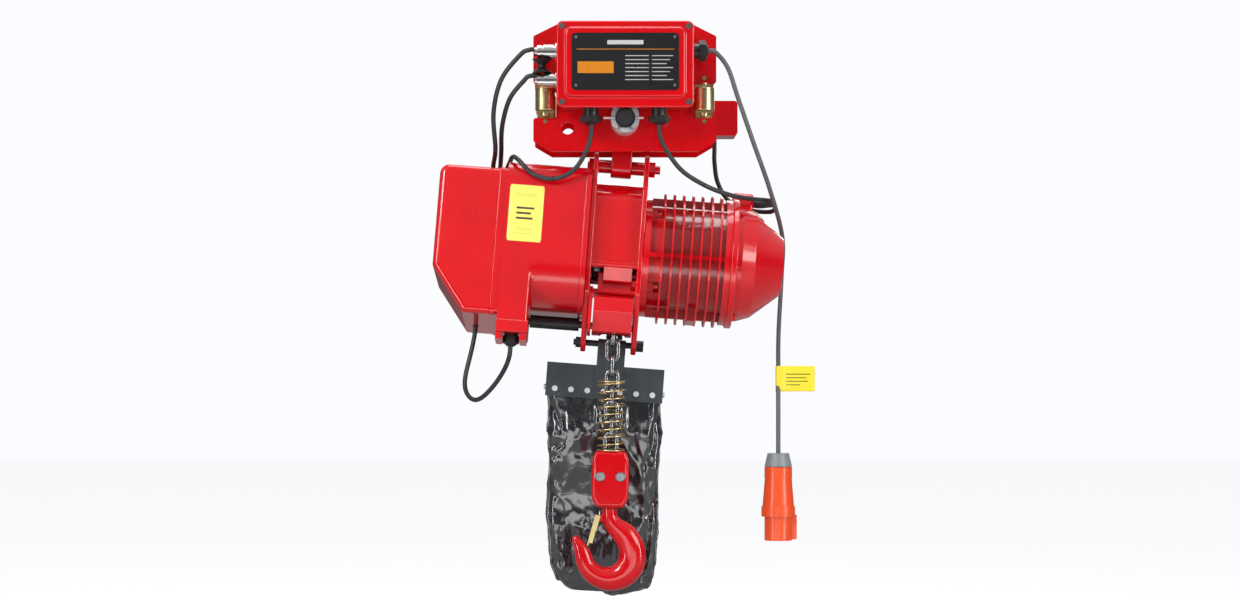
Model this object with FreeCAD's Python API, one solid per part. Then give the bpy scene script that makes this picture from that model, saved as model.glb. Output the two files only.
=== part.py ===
import FreeCAD, Part
import math
import os

# Electric chain hoist hanging from a motor-driven beam trolley, with hook, chain bag and cables.
# Beam frame: origin on the flange's running surface, midway between the wheels and between the
# side plates. +X (right) along the beam towards the motor end, +Y (rear) towards the trolley's
# drive side, +Z up. Heights below are measured from the load shaft's axis; save() moves each
# part down by FLANGE_TOP. Lengths are in mm, angles in degrees.

os.makedirs("parts", exist_ok=True)
Vec = FreeCAD.Vector
Place = FreeCAD.Placement
Turn = FreeCAD.Rotation
ORIGIN = Vec(0, 0, 0)
X_DIR, Y_DIR, Z_DIR = Vec(1, 0, 0), Vec(0, 1, 0), Vec(0, 0, 1)


# ------------------------------------------------------------------ helpers
# Boxes, cylinders, rings and hexagons take their two ends along the named axis first.
def polar(centre, radius, degrees):
    """2-D point at a radius and angle from centre."""
    angle = math.radians(degrees)
    return centre[0] + radius * math.cos(angle), centre[1] + radius * math.sin(angle)


def box(x0, x1, y0, y1, z0, z1):
    """Box between the given limits; the y limits may come in either order."""
    y0, y1 = sorted((y0, y1))
    return Part.makeBox(x1 - x0, y1 - y0, z1 - z0, Vec(x0, y0, z0))


def cyl_x(x0, x1, y, z, radius):
    return Part.makeCylinder(radius, abs(x1 - x0), Vec(min(x0, x1), y, z), X_DIR)


def cyl_y(y0, y1, x, z, radius):
    return Part.makeCylinder(radius, abs(y1 - y0), Vec(x, min(y0, y1), z), Y_DIR)


def cyl_z(z0, z1, x, y, radius):
    return Part.makeCylinder(radius, z1 - z0, Vec(x, y, z0), Z_DIR)


def ring_x(x0, x1, y, z, outer, inner):
    return cyl_x(x0, x1, y, z, outer).cut(cyl_x(x0 - 1, x1 + 1, y, z, inner))


def ring_y(y0, y1, x, z, outer, inner):
    y0, y1 = sorted((y0, y1))
    return cyl_y(y0, y1, x, z, outer).cut(cyl_y(y0 - 1, y1 + 1, x, z, inner))


def ring_z(z0, z1, x, y, outer, inner):
    return cyl_z(z0, z1, x, y, outer).cut(cyl_z(z0 - 1, z1 + 1, x, y, inner))


def hexagon(start, axis, across, length):
    """Hexagonal prism from start along axis, across its flats."""
    u = Z_DIR if abs(axis.z) < 0.9 else X_DIR
    v = axis.cross(u)
    radius = across / 2.0 / math.cos(math.pi / 6)
    corners = [polar((0, 0), radius, 60 * i) for i in range(7)]
    points = [Vec(*start) + u * a + v * b for a, b in corners]
    return Part.Face(Part.makePolygon(points)).extrude(axis * length)


def hex_x(x0, x1, y, z, across):
    return hexagon((min(x0, x1), y, z), X_DIR, across, abs(x1 - x0))


def hex_y(y0, y1, x, z, across):
    return hexagon((x, min(y0, y1), z), Y_DIR, across, abs(y1 - y0))


def rounded_face(points, radii, put):
    """Face in a closed 2-D outline with rounded corners; put() takes a point into space.

    radii is a list with a radius for each corner, or one number for them all.
    """
    if not isinstance(radii, list):
        radii = [radii] * len(points)
    corners = []
    for i, radius in enumerate(radii):
        corner = Vec(*points[i], 0)
        back = (Vec(*points[i - 1], 0) - corner).normalize()
        ahead = (Vec(*points[i + 1 - len(points)], 0) - corner).normalize()
        half = back.getAngle(ahead) / 2
        inward = (back + ahead).normalize()
        start = corner + back * (radius / math.tan(half))
        middle = corner + inward * (radius / math.sin(half) - radius)
        end = corner + ahead * (radius / math.tan(half))
        corners.append((radius, start, middle, end))
    edges = []
    for i, (radius, start, middle, end) in enumerate(corners):
        if radius > 0:
            edges.append(Part.Arc(put(start), put(middle), put(end)).toShape())
        following = corners[i + 1 - len(corners)][1]
        if (following - end).Length > 1e-6:
            edges.append(Part.makeLine(put(end), put(following)))
    return Part.Face(Part.Wire(edges))


def slab_x(points, radii, x0, x1):
    """Slab across X from an outline of (y, z) points."""
    return rounded_face(points, radii, lambda p: Vec(x0, p.x, p.y)).extrude(Vec(x1 - x0, 0, 0))


def slab_y(points, radii, y0, y1):
    """Slab across Y from an outline of (x, z) points."""
    y0, y1 = sorted((y0, y1))
    return rounded_face(points, radii, lambda p: Vec(p.x, y0, p.y)).extrude(Vec(0, y1 - y0, 0))


def slab_z(points, radii, z0, z1):
    """Slab across Z from an outline of (x, y) points."""
    return rounded_face(points, radii, lambda p: Vec(p.x, p.y, z0)).extrude(Vec(0, 0, z1 - z0))


def rect(a0, a1, b0, b1):
    return [(a0, b0), (a1, b0), (a1, b1), (a0, b1)]


def revolve(points, base, axis):
    """Full turn of a closed profile, facing outwards."""
    solid = Part.Face(Part.makePolygon(points + [points[0]])).revolve(base, axis, 360)
    return solid if solid.Volume > 0 else solid.reversed()


def join(shapes):
    return shapes[0].multiFuse(shapes[1:]).removeSplitter()


def group(shapes):
    return Part.makeCompound([solid for shape in shapes for solid in shape.Solids])


def soften(shape, radius, pick):
    """Fillet the edges that pick() accepts, at a smaller radius where the full one fails."""
    edges = [e for e in shape.Edges if pick(e)]
    if not edges:
        return shape
    for size in (radius, radius * 0.75, radius * 0.5):
        # the kernel raises an error where the radius does not fit the edges
        try:
            result = shape.makeFillet(size, edges)
            if result.isValid() and result.Volume > 0:
                return result
        except Exception:
            continue
    return shape


def is_circle(edge):
    return isinstance(edge.Curve, Part.Circle)


def at_x(edge, x):
    bounds = edge.BoundBox
    return abs(bounds.XMin - x) < 0.01 and abs(bounds.XMax - x) < 0.01


def at_y(edge, y):
    bounds = edge.BoundBox
    return abs(bounds.YMin - y) < 0.01 and abs(bounds.YMax - y) < 0.01


def cable(points, radius=4.5):
    """Round cable through points."""
    curve = Part.BSplineCurve()
    curve.interpolate([Vec(*p) for p in points])
    edge = curve.toShape()
    start = edge.FirstParameter
    circle = Part.makeCircle(radius, edge.valueAt(start), edge.tangentAt(start))
    return Part.Wire(edge).makePipeShell([Part.Wire(circle)], True, True)


def placed(shape, place):
    shape = shape.copy()
    shape.Placement = place * shape.Placement
    return shape


# ---- spur gears
PRESSURE_ANGLE = math.radians(25.0)
TOOTH_THINNING = 0.10           # taken off each flank at the pitch circle
ADDENDUM, DEDENDUM = 0.95, 1.3  # in modules


def gear(teeth, module, width, phase, bore):
    """Spur gear in the XY plane, extruded along +Z. phase is a tooth centre's angle."""
    pitch_r = module * teeth / 2.0
    base_r = pitch_r * math.cos(PRESSURE_ANGLE)
    tip_r = pitch_r + ADDENDUM * module
    root_r = pitch_r - DEDENDUM * module
    flank_r = max(base_r * 1.0005, root_r)   # where the curved flank starts
    mid_r = (flank_r + tip_r) / 2.0
    undercut = root_r < flank_r - 1e-4
    pitch_half = math.pi / 2 / teeth - TOOTH_THINNING / pitch_r
    involute = math.tan(PRESSURE_ANGLE) - PRESSURE_ANGLE

    def half_angle(radius):
        angle = math.acos(base_r / radius)
        return pitch_half + involute - (math.tan(angle) - angle)

    def point(radius, angle):
        return Vec(radius * math.cos(angle), radius * math.sin(angle), 0)

    step = 2 * math.pi / teeth
    low, mid, high = half_angle(flank_r), half_angle(mid_r), half_angle(tip_r)
    edges = []
    for i in range(teeth):
        c = math.radians(phase) + i * step
        rise = [point(flank_r, c - low), point(mid_r, c - mid), point(tip_r, c - high)]
        fall = [point(tip_r, c + high), point(mid_r, c + mid), point(flank_r, c + low)]
        if undercut:
            edges.append(Part.makeLine(point(root_r, c - low), rise[0]))
        edges.append(Part.Arc(*rise).toShape())
        edges.append(Part.makeLine(rise[2], fall[0]))
        edges.append(Part.Arc(*fall).toShape())
        if undercut:
            edges.append(Part.makeLine(fall[2], point(root_r, c + low)))
        edges.append(Part.makeLine(point(root_r, c + low), point(root_r, c + step - low)))
    solid = Part.Face(Part.Wire(edges)).extrude(Vec(0, 0, width))
    return solid.cut(cyl_z(0, width, 0, 0, bore)) if bore else solid


def gear_x(teeth, module, x0, x1, y, z, phase=0.0, bore=0.0):
    """Gear about an axis along +X. Its own X and Y axes go to Y and Z."""
    matrix = FreeCAD.Matrix(0, 0, 1, x0, 1, 0, 0, y, 0, 1, 0, z, 0, 0, 0, 1)
    return placed(gear(teeth, module, x1 - x0, phase, bore), Place(matrix))


def gear_y(teeth, module, y0, y1, x, z, phase=0.0, bore=0.0):
    """Gear about an axis along -Y. Its own X and Y axes go to X and Z."""
    matrix = FreeCAD.Matrix(1, 0, 0, x, 0, 0, -1, y1, 0, 1, 0, z, 0, 0, 0, 1)
    return placed(gear(teeth, module, y1 - y0, phase, bore), Place(matrix))


def mesh_phase(angle, teeth, mate_teeth, phase=0.0):
    """Phase of a mate that lies at angle from a gear with the given phase, so that they mesh."""
    fraction = ((angle - phase) / (360.0 / teeth)) % 1.0
    return angle + 180.0 + (fraction - 0.5) * 360.0 / mate_teeth


# ------------------------------------------------------------------ frames
FLANGE_TOP = 50.0     # height of the wheels' running surface
ROLL = 4.2            # the empty hoist's turn about the load shaft (motor end low)
PITCH = -8.5          # its turn about the suspension pin (bottom forward)
LEAN = 1.0            # the empty hook's lean about the same axis as ROLL
PIN_Z = -84.0         # suspension pin below the load shaft
YOKE = Place(ORIGIN, Turn(Y_DIR, ROLL))
HOIST = YOKE * Place(Vec(0, 0, PIN_Z), Turn(X_DIR, PITCH)) * Place(Vec(0, 0, -PIN_Z), Turn())
TO_FLANGE = Place(Vec(0, 0, -FLANGE_TOP), Turn())


def save(name, shape, place=Place()):
    """Write a part, taking it from the frame it was built in to the beam frame."""
    if shape.ShapeType == "Compound" or len(shape.Solids) != 1:
        shape = Part.makeCompound(shape.Solids)
    else:
        shape = shape.Solids[0]
    placed(shape, TO_FLANGE * place).exportStep("parts/%s.step" % name)


# ================================================================== TROLLEY
PLATE_T = 8.0         # side plate thickness
GAP = 118.0           # between the side plates, for a 110 mm wide beam flange
PLATE_IN = GAP / 2.0  # inner face of a side plate
PLATE_OUT = PLATE_IN + PLATE_T
PLATE_HALF = 176.0    # half length of a side plate
SHAFT_R = 19.0        # load shaft
TREAD_R = 50.0
WHEEL_Z = FLANGE_TOP + TREAD_R
WHEEL_X = 77.5        # half the wheel base
AXLE_R = 12.0
ROLLER_R, ROLLER_X = 19.0, 153.0
BRACKET_BOLT_Z = (0.0, 83.0)
TIE_HOLE_X, TIE_HOLE_Z, TIE_HOLE_R = -110.0, -13.0, 12.0


# ---- side plates: side is -1 for the front plate, 1 for the drive side
def side_plate(side):
    right = [(142, -58), (PLATE_HALF, -38), (PLATE_HALF, 6.5), (132, 6.5), (132, 70),
             (PLATE_HALF - 5, 70), (PLATE_HALF, 76), (PLATE_HALF, 164), (128, 188)]
    radii = [4, 4, 5, 3, 3, 2, 3, 4, 4]
    outline = right + [(-x, z) for x, z in reversed(right)]
    holes = [(0, 0, SHAFT_R + 0.1), (TIE_HOLE_X, TIE_HOLE_Z, TIE_HOLE_R)]
    for end in (-1, 1):
        holes.append((end * WHEEL_X, WHEEL_Z, AXLE_R + 0.05))
        holes += [(end * ROLLER_X, z, 4.1) for z in BRACKET_BOLT_Z]
    if side > 0:
        holes.append((0, WHEEL_Z, 26.0))
    plate = slab_y(outline, radii + radii[::-1], side * PLATE_IN, side * PLATE_OUT)
    return plate.cut([cyl_y(side * (PLATE_IN - 1), side * (PLATE_OUT + 1), *h) for h in holes])


save("front_side_plate", side_plate(-1))
save("rear_side_plate", side_plate(1))

# ---- load shaft: stepped front end with a cross hole, head at the rear
COTTER_Y = -PLATE_OUT - 66
shaft = cyl_y(-PLATE_OUT - 74, PLATE_OUT + 22, 0, 0, SHAFT_R - 0.05)
shaft = shaft.fuse(cyl_y(-PLATE_OUT - 84, -PLATE_OUT - 74, 0, 0, 15.5))
shaft = shaft.fuse(cyl_y(PLATE_OUT + 22, PLATE_OUT + 30, 0, 0, 28))
shaft = shaft.cut(cyl_x(-60, 60, COTTER_Y, 0, 2.6))
save("load_shaft", shaft.removeSplitter())

# ---- spacer washers, castle nut and cross pin at the front, washers at the rear
SPACER_T = 6
nuts = []
y = -PLATE_OUT
for i in range(8):
    nuts.append(ring_y(y - SPACER_T + 0.15, y - 0.05, 0, -1.0, 27.0, SHAFT_R + 1.2))
    y -= SPACER_T
castle = cyl_y(y - 22, y - 0.2, 0, 0, 28).common(hex_y(y - 22, y - 0.2, 0, 0, 52))
castle = castle.cut(cyl_y(y - 30, y + 10, 0, 0, SHAFT_R + 0.1))
for i in range(6):
    slot = box(-3.2, 3.2, y - 23, y - 14.5, SHAFT_R - 2, 40)
    slot.rotate(ORIGIN, Y_DIR, i * 60 + 30)
    castle = castle.cut(slot)
nuts += [castle, cyl_x(-41, 35, COTTER_Y, 0, 2.4)]
for i in range(3):
    y = PLATE_OUT + i * SPACER_T
    nuts.append(ring_y(y + 0.05, y + SPACER_T - 0.15, 0, 0, 27.0, SHAFT_R + 0.2))
save("load_shaft_nuts", group(nuts))

# ---- wheels: tread, rail flange, and on the drive side a toothed rim
# travel gears: (teeth, module)
WHEEL_GEAR, OUTPUT_PINION = (46, 2.5), (16, 2.5)
OUTPUT_GEAR, MID_PINION = (42, 2.5), (14, 2.5)
MID_GEAR, DRIVE_PINION = (48, 2.0), (12, 2.0)
WHEEL_IN, WHEEL_OUT = PLATE_IN - 42.0, PLATE_IN - 3.0   # |y| of a wheel's faces


def wheel(x, side):
    geared = side > 0
    step = WHEEL_OUT - (12 if geared else 4)
    profile = [(WHEEL_IN, 26.2), (WHEEL_IN, TREAD_R - 1.5), (WHEEL_IN + 24, TREAD_R),
               (WHEEL_IN + 26, 58.0), (step, 58.0), (step, 40), (WHEEL_OUT, 40),
               (WHEEL_OUT, 26.2)]
    solid = revolve([Vec(0, side * y, r) for y, r in profile], ORIGIN, Y_DIR)
    solid.translate(Vec(x, 0, WHEEL_Z))
    if geared:
        phase = mesh_phase(0.0 if x > 0 else 180.0, OUTPUT_PINION[0], WHEEL_GEAR[0])
        rim = gear_y(*WHEEL_GEAR, step, WHEEL_OUT, x, WHEEL_Z, phase, bore=39.0)
        solid = solid.fuse(rim).removeSplitter()
    return solid


ENDS = ((-1, "left"), (1, "right"))
SIDES = ((-1, "front"), (1, "rear"))
axles = []
for side, side_name in SIDES:
    for end, end_name in ENDS:
        x = end * WHEEL_X
        save("wheel_%s_%s" % (side_name, end_name), wheel(x, side))
        axle = cyl_y(side * (WHEEL_IN - 2), side * PLATE_OUT, x, WHEEL_Z, AXLE_R)
        axle = axle.fuse(cyl_y(side * (PLATE_IN - 2.5), side * PLATE_IN, x, WHEEL_Z, 17))
        axle = axle.fuse(hex_y(side * PLATE_OUT, side * (PLATE_OUT + 6.4), x, WHEEL_Z,
                               26 if side < 0 else 30))
        axles.append(axle.removeSplitter())
        for y in (WHEEL_IN + 3.5, WHEEL_OUT - 15.5):        # bearings
            axles.append(ring_y(side * y, side * (y + 12), x, WHEEL_Z, 26.15, AXLE_R + 0.02))
save("wheel_axles", group(axles))

# ---- side guide rollers on upright pins in brackets at the plates' notches
ROLLER_Z0, ROLLER_Z1 = 14.5, 68.5       # opening in a bracket's back
brackets = []
for side, side_name in SIDES:
    for end, end_name in ENDS:
        x, y = end * ROLLER_X, side * (PLATE_IN + 15.0)
        inner = side * (PLATE_IN - 6.0)
        back = box(x - 15.5, x + 15.5, inner, side * (PLATE_IN - 0.05), -9.5, 92.5)
        back = back.cut(box(x - 30, x + 30, side * (PLATE_IN - 7), side * (PLATE_IN + 0.95),
                            ROLLER_Z0, ROLLER_Z1))
        shelves = [box(x - 17, x + 17, inner, side * (PLATE_IN + 27), z, z + 4)
                   for z in (ROLLER_Z1 - 4, ROLLER_Z0)]
        bracket = back.fuse(shelves).removeSplitter()
        bracket = bracket.cut(cyl_z(0, 90, x, y, 5.1))
        for z in BRACKET_BOLT_Z:
            bracket = bracket.cut(cyl_y(side * 40, side * 80, x, z, 4.05))
        brackets.append(bracket)
        brackets.append(join([cyl_z(12.0, 71.0, x, y, 5.0), cyl_z(9.5, 14.4, x, y, 8.0),
                              cyl_z(68.6, 73.0, x, y, 6.8)]))
        for z in BRACKET_BOLT_Z:
            brackets.append(cyl_y(inner, side * (PLATE_OUT + 1.5), x, z, 4.0))
        roller = ring_z(19.5, 63.5, x, y, ROLLER_R, 5.06)
        roller = soften(roller, 1.5, lambda e: is_circle(e) and e.Curve.Radius > 15)
        save("guide_roller_%s_%s" % (side_name, end_name), roller)
save("guide_roller_brackets", group(brackets))

# ---- travel drive on the rear plate; axes run along Y, given as (x, z)
MID_ANGLE, DRIVE_ANGLE = -14, -30
OUTPUT_AXIS = (0.0, WHEEL_Z)
MID_AXIS = polar(OUTPUT_AXIS, (14 + 42) / 2.0 * 2.5, MID_ANGLE)
DRIVE_AXIS = polar(MID_AXIS, (12 + 48) / 2.0 * 2.0, DRIVE_ANGLE)
GEARBOX_Y0 = PLATE_OUT
GEARBOX_Y1 = PLATE_OUT + 78.0
STEP_Y = GEARBOX_Y0 + 31.0              # the deep half stands clear of the guide roller
DRIVE_END = GEARBOX_Y1 + 118.0


def hull_y(circles, y0, y1):
    """Solid round (axis, radius) circles, each joined to the next by outer tangents."""
    shapes = [cyl_y(y0, y1, *axis, radius) for axis, radius in circles]
    for (a, radius_a), (b, radius_b) in zip(circles, circles[1:]):
        across, up = b[0] - a[0], b[1] - a[1]
        angle = math.degrees(math.atan2(up, across))
        touch = math.degrees(math.acos((radius_a - radius_b) / math.hypot(across, up)))
        shapes.append(slab_y([polar(a, radius_a, angle + touch), polar(b, radius_b, angle + touch),
                              polar(b, radius_b, angle - touch), polar(a, radius_a, angle - touch)],
                             0, y0, y1))
    return join(shapes)


outer = hull_y([(OUTPUT_AXIS, 66), (MID_AXIS, 59)], GEARBOX_Y0, STEP_Y + 1)
outer = outer.fuse(hull_y([(OUTPUT_AXIS, 66), (MID_AXIS, 62), (DRIVE_AXIS, 58)],
                          STEP_Y, GEARBOX_Y1))
inner = hull_y([(OUTPUT_AXIS, 58), (MID_AXIS, 52)], GEARBOX_Y0 + 7, GEARBOX_Y1 - 7)
inner = inner.fuse(hull_y([(MID_AXIS, 52), (DRIVE_AXIS, 30)], STEP_Y + 7, GEARBOX_Y1 - 7))
housing = outer.removeSplitter().cut([
    inner, cyl_y(GEARBOX_Y0 - 1, GEARBOX_Y0 + 8, *OUTPUT_AXIS, 26.0),
    cyl_y(GEARBOX_Y1 - 8, GEARBOX_Y1 + 1, *DRIVE_AXIS, 13.0)])
for end in (-1, 1):                     # pockets for the axle heads
    housing = housing.cut(cyl_y(GEARBOX_Y0 - 1, GEARBOX_Y0 + 7.5, end * WHEEL_X, WHEEL_Z, 19.0))
housing = housing.cut(cyl_y(0, GEARBOX_Y1, 0, 0, 40.0))    # clear of the load shaft's head
housing = soften(housing, 4.0, lambda e: at_y(e, GEARBOX_Y1) and e.Length > 30)
save("travel_gearbox_housing", housing)

motor = cyl_y(GEARBOX_Y1, DRIVE_END, *DRIVE_AXIS, 50)
for i in range(9):                      # fins
    y = GEARBOX_Y1 + 12 + i * 10
    motor = motor.fuse(cyl_y(y, y + 3, *DRIVE_AXIS, 56))
motor = motor.fuse(cyl_y(GEARBOX_Y1, GEARBOX_Y1 + 8, *DRIVE_AXIS, 58))
motor = motor.fuse(cyl_y(DRIVE_END - 12, DRIVE_END, *DRIVE_AXIS, 55))
motor = motor.fuse(slab_y(rect(DRIVE_AXIS[0] + 46, 229, -6, 64), 7,
                          GEARBOX_Y1 + 12, GEARBOX_Y1 + 92)).removeSplitter()
motor = motor.cut(cyl_y(GEARBOX_Y1 - 1, DRIVE_END - 10, *DRIVE_AXIS, 43))
motor = soften(motor, 4.0, lambda e: at_y(e, DRIVE_END) and is_circle(e))
save("travel_motor_housing", motor)

MID_GEAR_PHASE = 3.0
save("travel_output_shaft", join([
    gear_y(*OUTPUT_PINION, PLATE_IN - 14.5, PLATE_IN - 2, *OUTPUT_AXIS),
    cyl_y(PLATE_IN - 2, GEARBOX_Y1 - 8, *OUTPUT_AXIS, 11),
    gear_y(*OUTPUT_GEAR, GEARBOX_Y0 + 10, GEARBOX_Y0 + 26, *OUTPUT_AXIS, bore=10)]))
save("travel_intermediate_gear", join([
    cyl_y(GEARBOX_Y0 + 7.2, GEARBOX_Y1 - 7.2, *MID_AXIS, 9),
    gear_y(*MID_PINION, GEARBOX_Y0 + 8, GEARBOX_Y0 + 28, *MID_AXIS,
           mesh_phase(MID_ANGLE, 42, 14), bore=8),
    gear_y(*MID_GEAR, GEARBOX_Y0 + 34, GEARBOX_Y0 + 48, *MID_AXIS, MID_GEAR_PHASE, bore=8)]))
save("travel_rotor", join([
    cyl_y(GEARBOX_Y0 + 50, DRIVE_END - 16, *DRIVE_AXIS, 8),
    gear_y(*DRIVE_PINION, GEARBOX_Y0 + 39, GEARBOX_Y0 + 52, *DRIVE_AXIS,
           mesh_phase(DRIVE_ANGLE, 48, 12, MID_GEAR_PHASE)),
    cyl_y(GEARBOX_Y1 + 14, DRIVE_END - 24, *DRIVE_AXIS, 40)]))

# ---- trolley control box on the front plate
CTRL_BACK = -PLATE_OUT - 8.6            # clears the axle heads behind it
CTRL_FRONT = -170.0
RIM_Y = CTRL_FRONT + 14                 # the box's open front edge
LID_Y = CTRL_FRONT + 4                  # the lid's border
RAISED_Y = CTRL_FRONT - 4               # the lid's raised middle
ENTRY_Y = -122                          # all cable entries lie in this plane
GLAND_X = 65                            # the two glands below
SIDE_GLAND_Z = 128                      # the gland on the right
CONNECTOR_Z = (126.6, 72.7)             # the two metal connectors on the left
ctrl = slab_y(rect(-126, 126, 20, 177), 10, RIM_Y, CTRL_BACK)
ctrl = ctrl.cut(slab_y(rect(-121, 121, 25, 172), 7, RIM_Y - 1, CTRL_BACK - 5))
feet = [box(x - 14, x + 14, CTRL_BACK - 0.01, -PLATE_OUT, z - 12, z + 12)
        for x in (-112, 112) for z in (48, 160)]
feet.append(box(-20, 20, CTRL_BACK - 0.01, -PLATE_OUT, 134, 158))
ctrl = ctrl.fuse(feet).removeSplitter()
# arch that clears the load shaft's nut and spacers
arch = cyl_y(CTRL_FRONT + 26, CTRL_BACK, 0, -1, 35)
arch = arch.common(box(-60, 60, CTRL_FRONT, CTRL_BACK, 21, 60))
ctrl = ctrl.fuse(arch).removeSplitter()
ctrl = ctrl.cut(cyl_y(CTRL_FRONT + 31, CTRL_BACK + 1, 0, -1, 30))
for x in (-GLAND_X, GLAND_X):
    ctrl = ctrl.cut(cyl_z(10, 30, x, ENTRY_Y, 10.2))
ctrl = ctrl.cut(cyl_x(118, 130, ENTRY_Y, SIDE_GLAND_Z, 10.2))
for z in CONNECTOR_Z:
    ctrl = ctrl.cut(cyl_x(-128, -116, ENTRY_Y, z, 10.2))
save("trolley_control_box", ctrl)

LID_SCREWS = [(x, z) for x in (-119.5, 119.5) for z in (27, 170)]
lid = slab_y(rect(-130, 130, 16.5, 180.5), 13, LID_Y, RIM_Y - 0.1)
lid = lid.fuse(slab_y(rect(-113, 113, 36, 167), 12, RAISED_Y, LID_Y + 1)).removeSplitter()
lid = soften(lid, 3.5, lambda e: at_y(e, RAISED_Y) or at_y(e, LID_Y))
for screw in LID_SCREWS:
    lid = lid.cut(cyl_y(LID_Y - 2, RIM_Y + 1, *screw, 3.6))
lid = lid.cut(slab_y(rect(-106, 106, 42, 161), 8, LID_Y - 2, RIM_Y + 1))
save("trolley_control_lid", lid)
save("lid_screws", group([join([cyl_y(LID_Y - 3.2, LID_Y - 0.02, *screw, 5.6),
                                cyl_y(LID_Y - 0.02, RIM_Y - 0.5, *screw, 3.5)])
                          for screw in LID_SCREWS]))
rivets = [cyl_y(RAISED_Y - 3.2, RAISED_Y - 1.6, x, z, 2.8) for x in (-93, 93) for z in (57, 148)]
save("nameplate", join([slab_y(rect(-101, 101, 48, 156), 8,
                               RAISED_Y - 1.6, RAISED_Y - 0.02)] + rivets))


# ---- cable entries: three glands, and two connectors with a double cap between them
def gland(base, axis, collar_r=14.5, across=36.0, collar=15.0, length=15.0):
    """Stub into the wall, round collar, hexagonal nut with a tapered end, bored for the cable."""
    base = Vec(*base)
    solid = Part.makeCylinder(9.9, 14, base - axis * 8, axis)
    solid = solid.fuse(Part.makeCylinder(collar_r, collar, base + axis * 0.1, axis))
    solid = solid.fuse(hexagon(base + axis * collar, axis, across, length - 3))
    solid = solid.fuse(Part.makeCone(across / 2.0 * 0.96, across / 2.0 * 0.55, 5,
                                     base + axis * (collar + length - 3), axis))
    return solid.removeSplitter().cut(Part.makeCylinder(4.6, 80, base - axis * 20, axis))


def connector(z):
    """Stepped round connector on the control box's left wall."""
    solid = cyl_x(-118, -132, ENTRY_Y, z, 9.9)
    # radius, start outside the wall, length
    for radius, start, length in ((17.5, 0.1, 6), (12.0, 5, 6), (14.3, 10, 19), (11.0, 28, 5),
                                  (13.0, 32, 9), (8.5, 40, 6)):
        solid = solid.fuse(cyl_x(-126 - start, -126 - start - length, ENTRY_Y, z, radius))
    return solid.removeSplitter().cut(cyl_x(-106, -196, ENTRY_Y, z, 4.6))


entries = [gland((-GLAND_X, ENTRY_Y, 20), Z_DIR * -1), gland((GLAND_X, ENTRY_Y, 20), Z_DIR * -1),
           gland((126, ENTRY_Y, SIDE_GLAND_Z), X_DIR)]
entries += [connector(z) for z in CONNECTOR_Z]
CAP_X, CAP_Z = -158, sum(CONNECTOR_Z) / 2.0
cap = Part.makeCone(19.0, 7.0, 11, Vec(CAP_X, ENTRY_Y, CAP_Z - 12.6))
cap = cap.fuse(Part.makeCone(7.0, 19.0, 11, Vec(CAP_X, ENTRY_Y, CAP_Z + 1.6)))
cap = cap.fuse(cyl_z(CAP_Z - 1.7, CAP_Z + 1.7, CAP_X, ENTRY_Y, 7.0))
entries.append(cap.removeSplitter())
save("cable_entries", group(entries))

# ================================================================== YOKE
yoke = cyl_y(-21, 21, 0, 0, 34).fuse(box(-20, 20, -21, 21, PIN_Z, 0))
yoke = yoke.fuse(cyl_x(-20, 20, 0, PIN_Z, 21)).removeSplitter()
yoke = yoke.cut([cyl_y(-30, 30, 0, 0, SHAFT_R + 0.05), cyl_x(-30, 30, 0, PIN_Z, 13.06)])
yoke = soften(yoke, 3.0, lambda e: isinstance(e.Curve, Part.Line)
              and abs(e.tangentAt(e.FirstParameter).z) > 0.999)
save("suspension_yoke", yoke, YOKE)

# ================================================================== HOIST BODY
# Body frame, before it hangs turned: x along the motor, y to the rear, z up.
# Axes along X are given as (y, z).
MAIN_Y, MAIN_Z = 39.6, -250.0
MAIN = (MAIN_Y, MAIN_Z)                 # motor, sheave and load gear
COUNTER_ANGLE = 130.0                   # the countershaft's direction from the main axis
COUNTER = polar(MAIN, (12 + 96) / 2.0 * 1.4, COUNTER_ANGLE)   # countershaft
CROSS_BOLT = (39.6, -427.0)
LIMIT_Y, LIMIT_Z = LIMIT = (39.6, -393.0)                     # limit lever shaft
BODY_R = 128.0                          # half width of the castings, and the fins' radius
BODY_Y0, BODY_Y1 = MAIN_Y - BODY_R, MAIN_Y + BODY_R
FRAME_IN, FRAME_T = 44.0, 10.0          # frame plates' inner faces and thickness
FRAME_OUT = FRAME_IN + FRAME_T
SHEAVE_X = 8.0                          # sheave's middle plane
CASE_SPLIT, CASE_LEFT = -137.0, -216.0
CASE_TOP, CASE_BOTTOM = -104.0, -376.0
BOX_LEFT, BOX_RIGHT = -346.0, -222.0    # electric box
MOTOR_END = 222.0
FLANGE_BOLTS = [polar(MAIN, 98, angle) for angle in (45, 135, 225, 315)]


def about_main(shape, degrees, x=0.0):
    """Turn a shape built round the X axis and carry it to the main axis."""
    shape.rotate(ORIGIN, X_DIR, degrees)
    shape.translate(Vec(x, MAIN_Y, MAIN_Z))
    return shape


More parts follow.
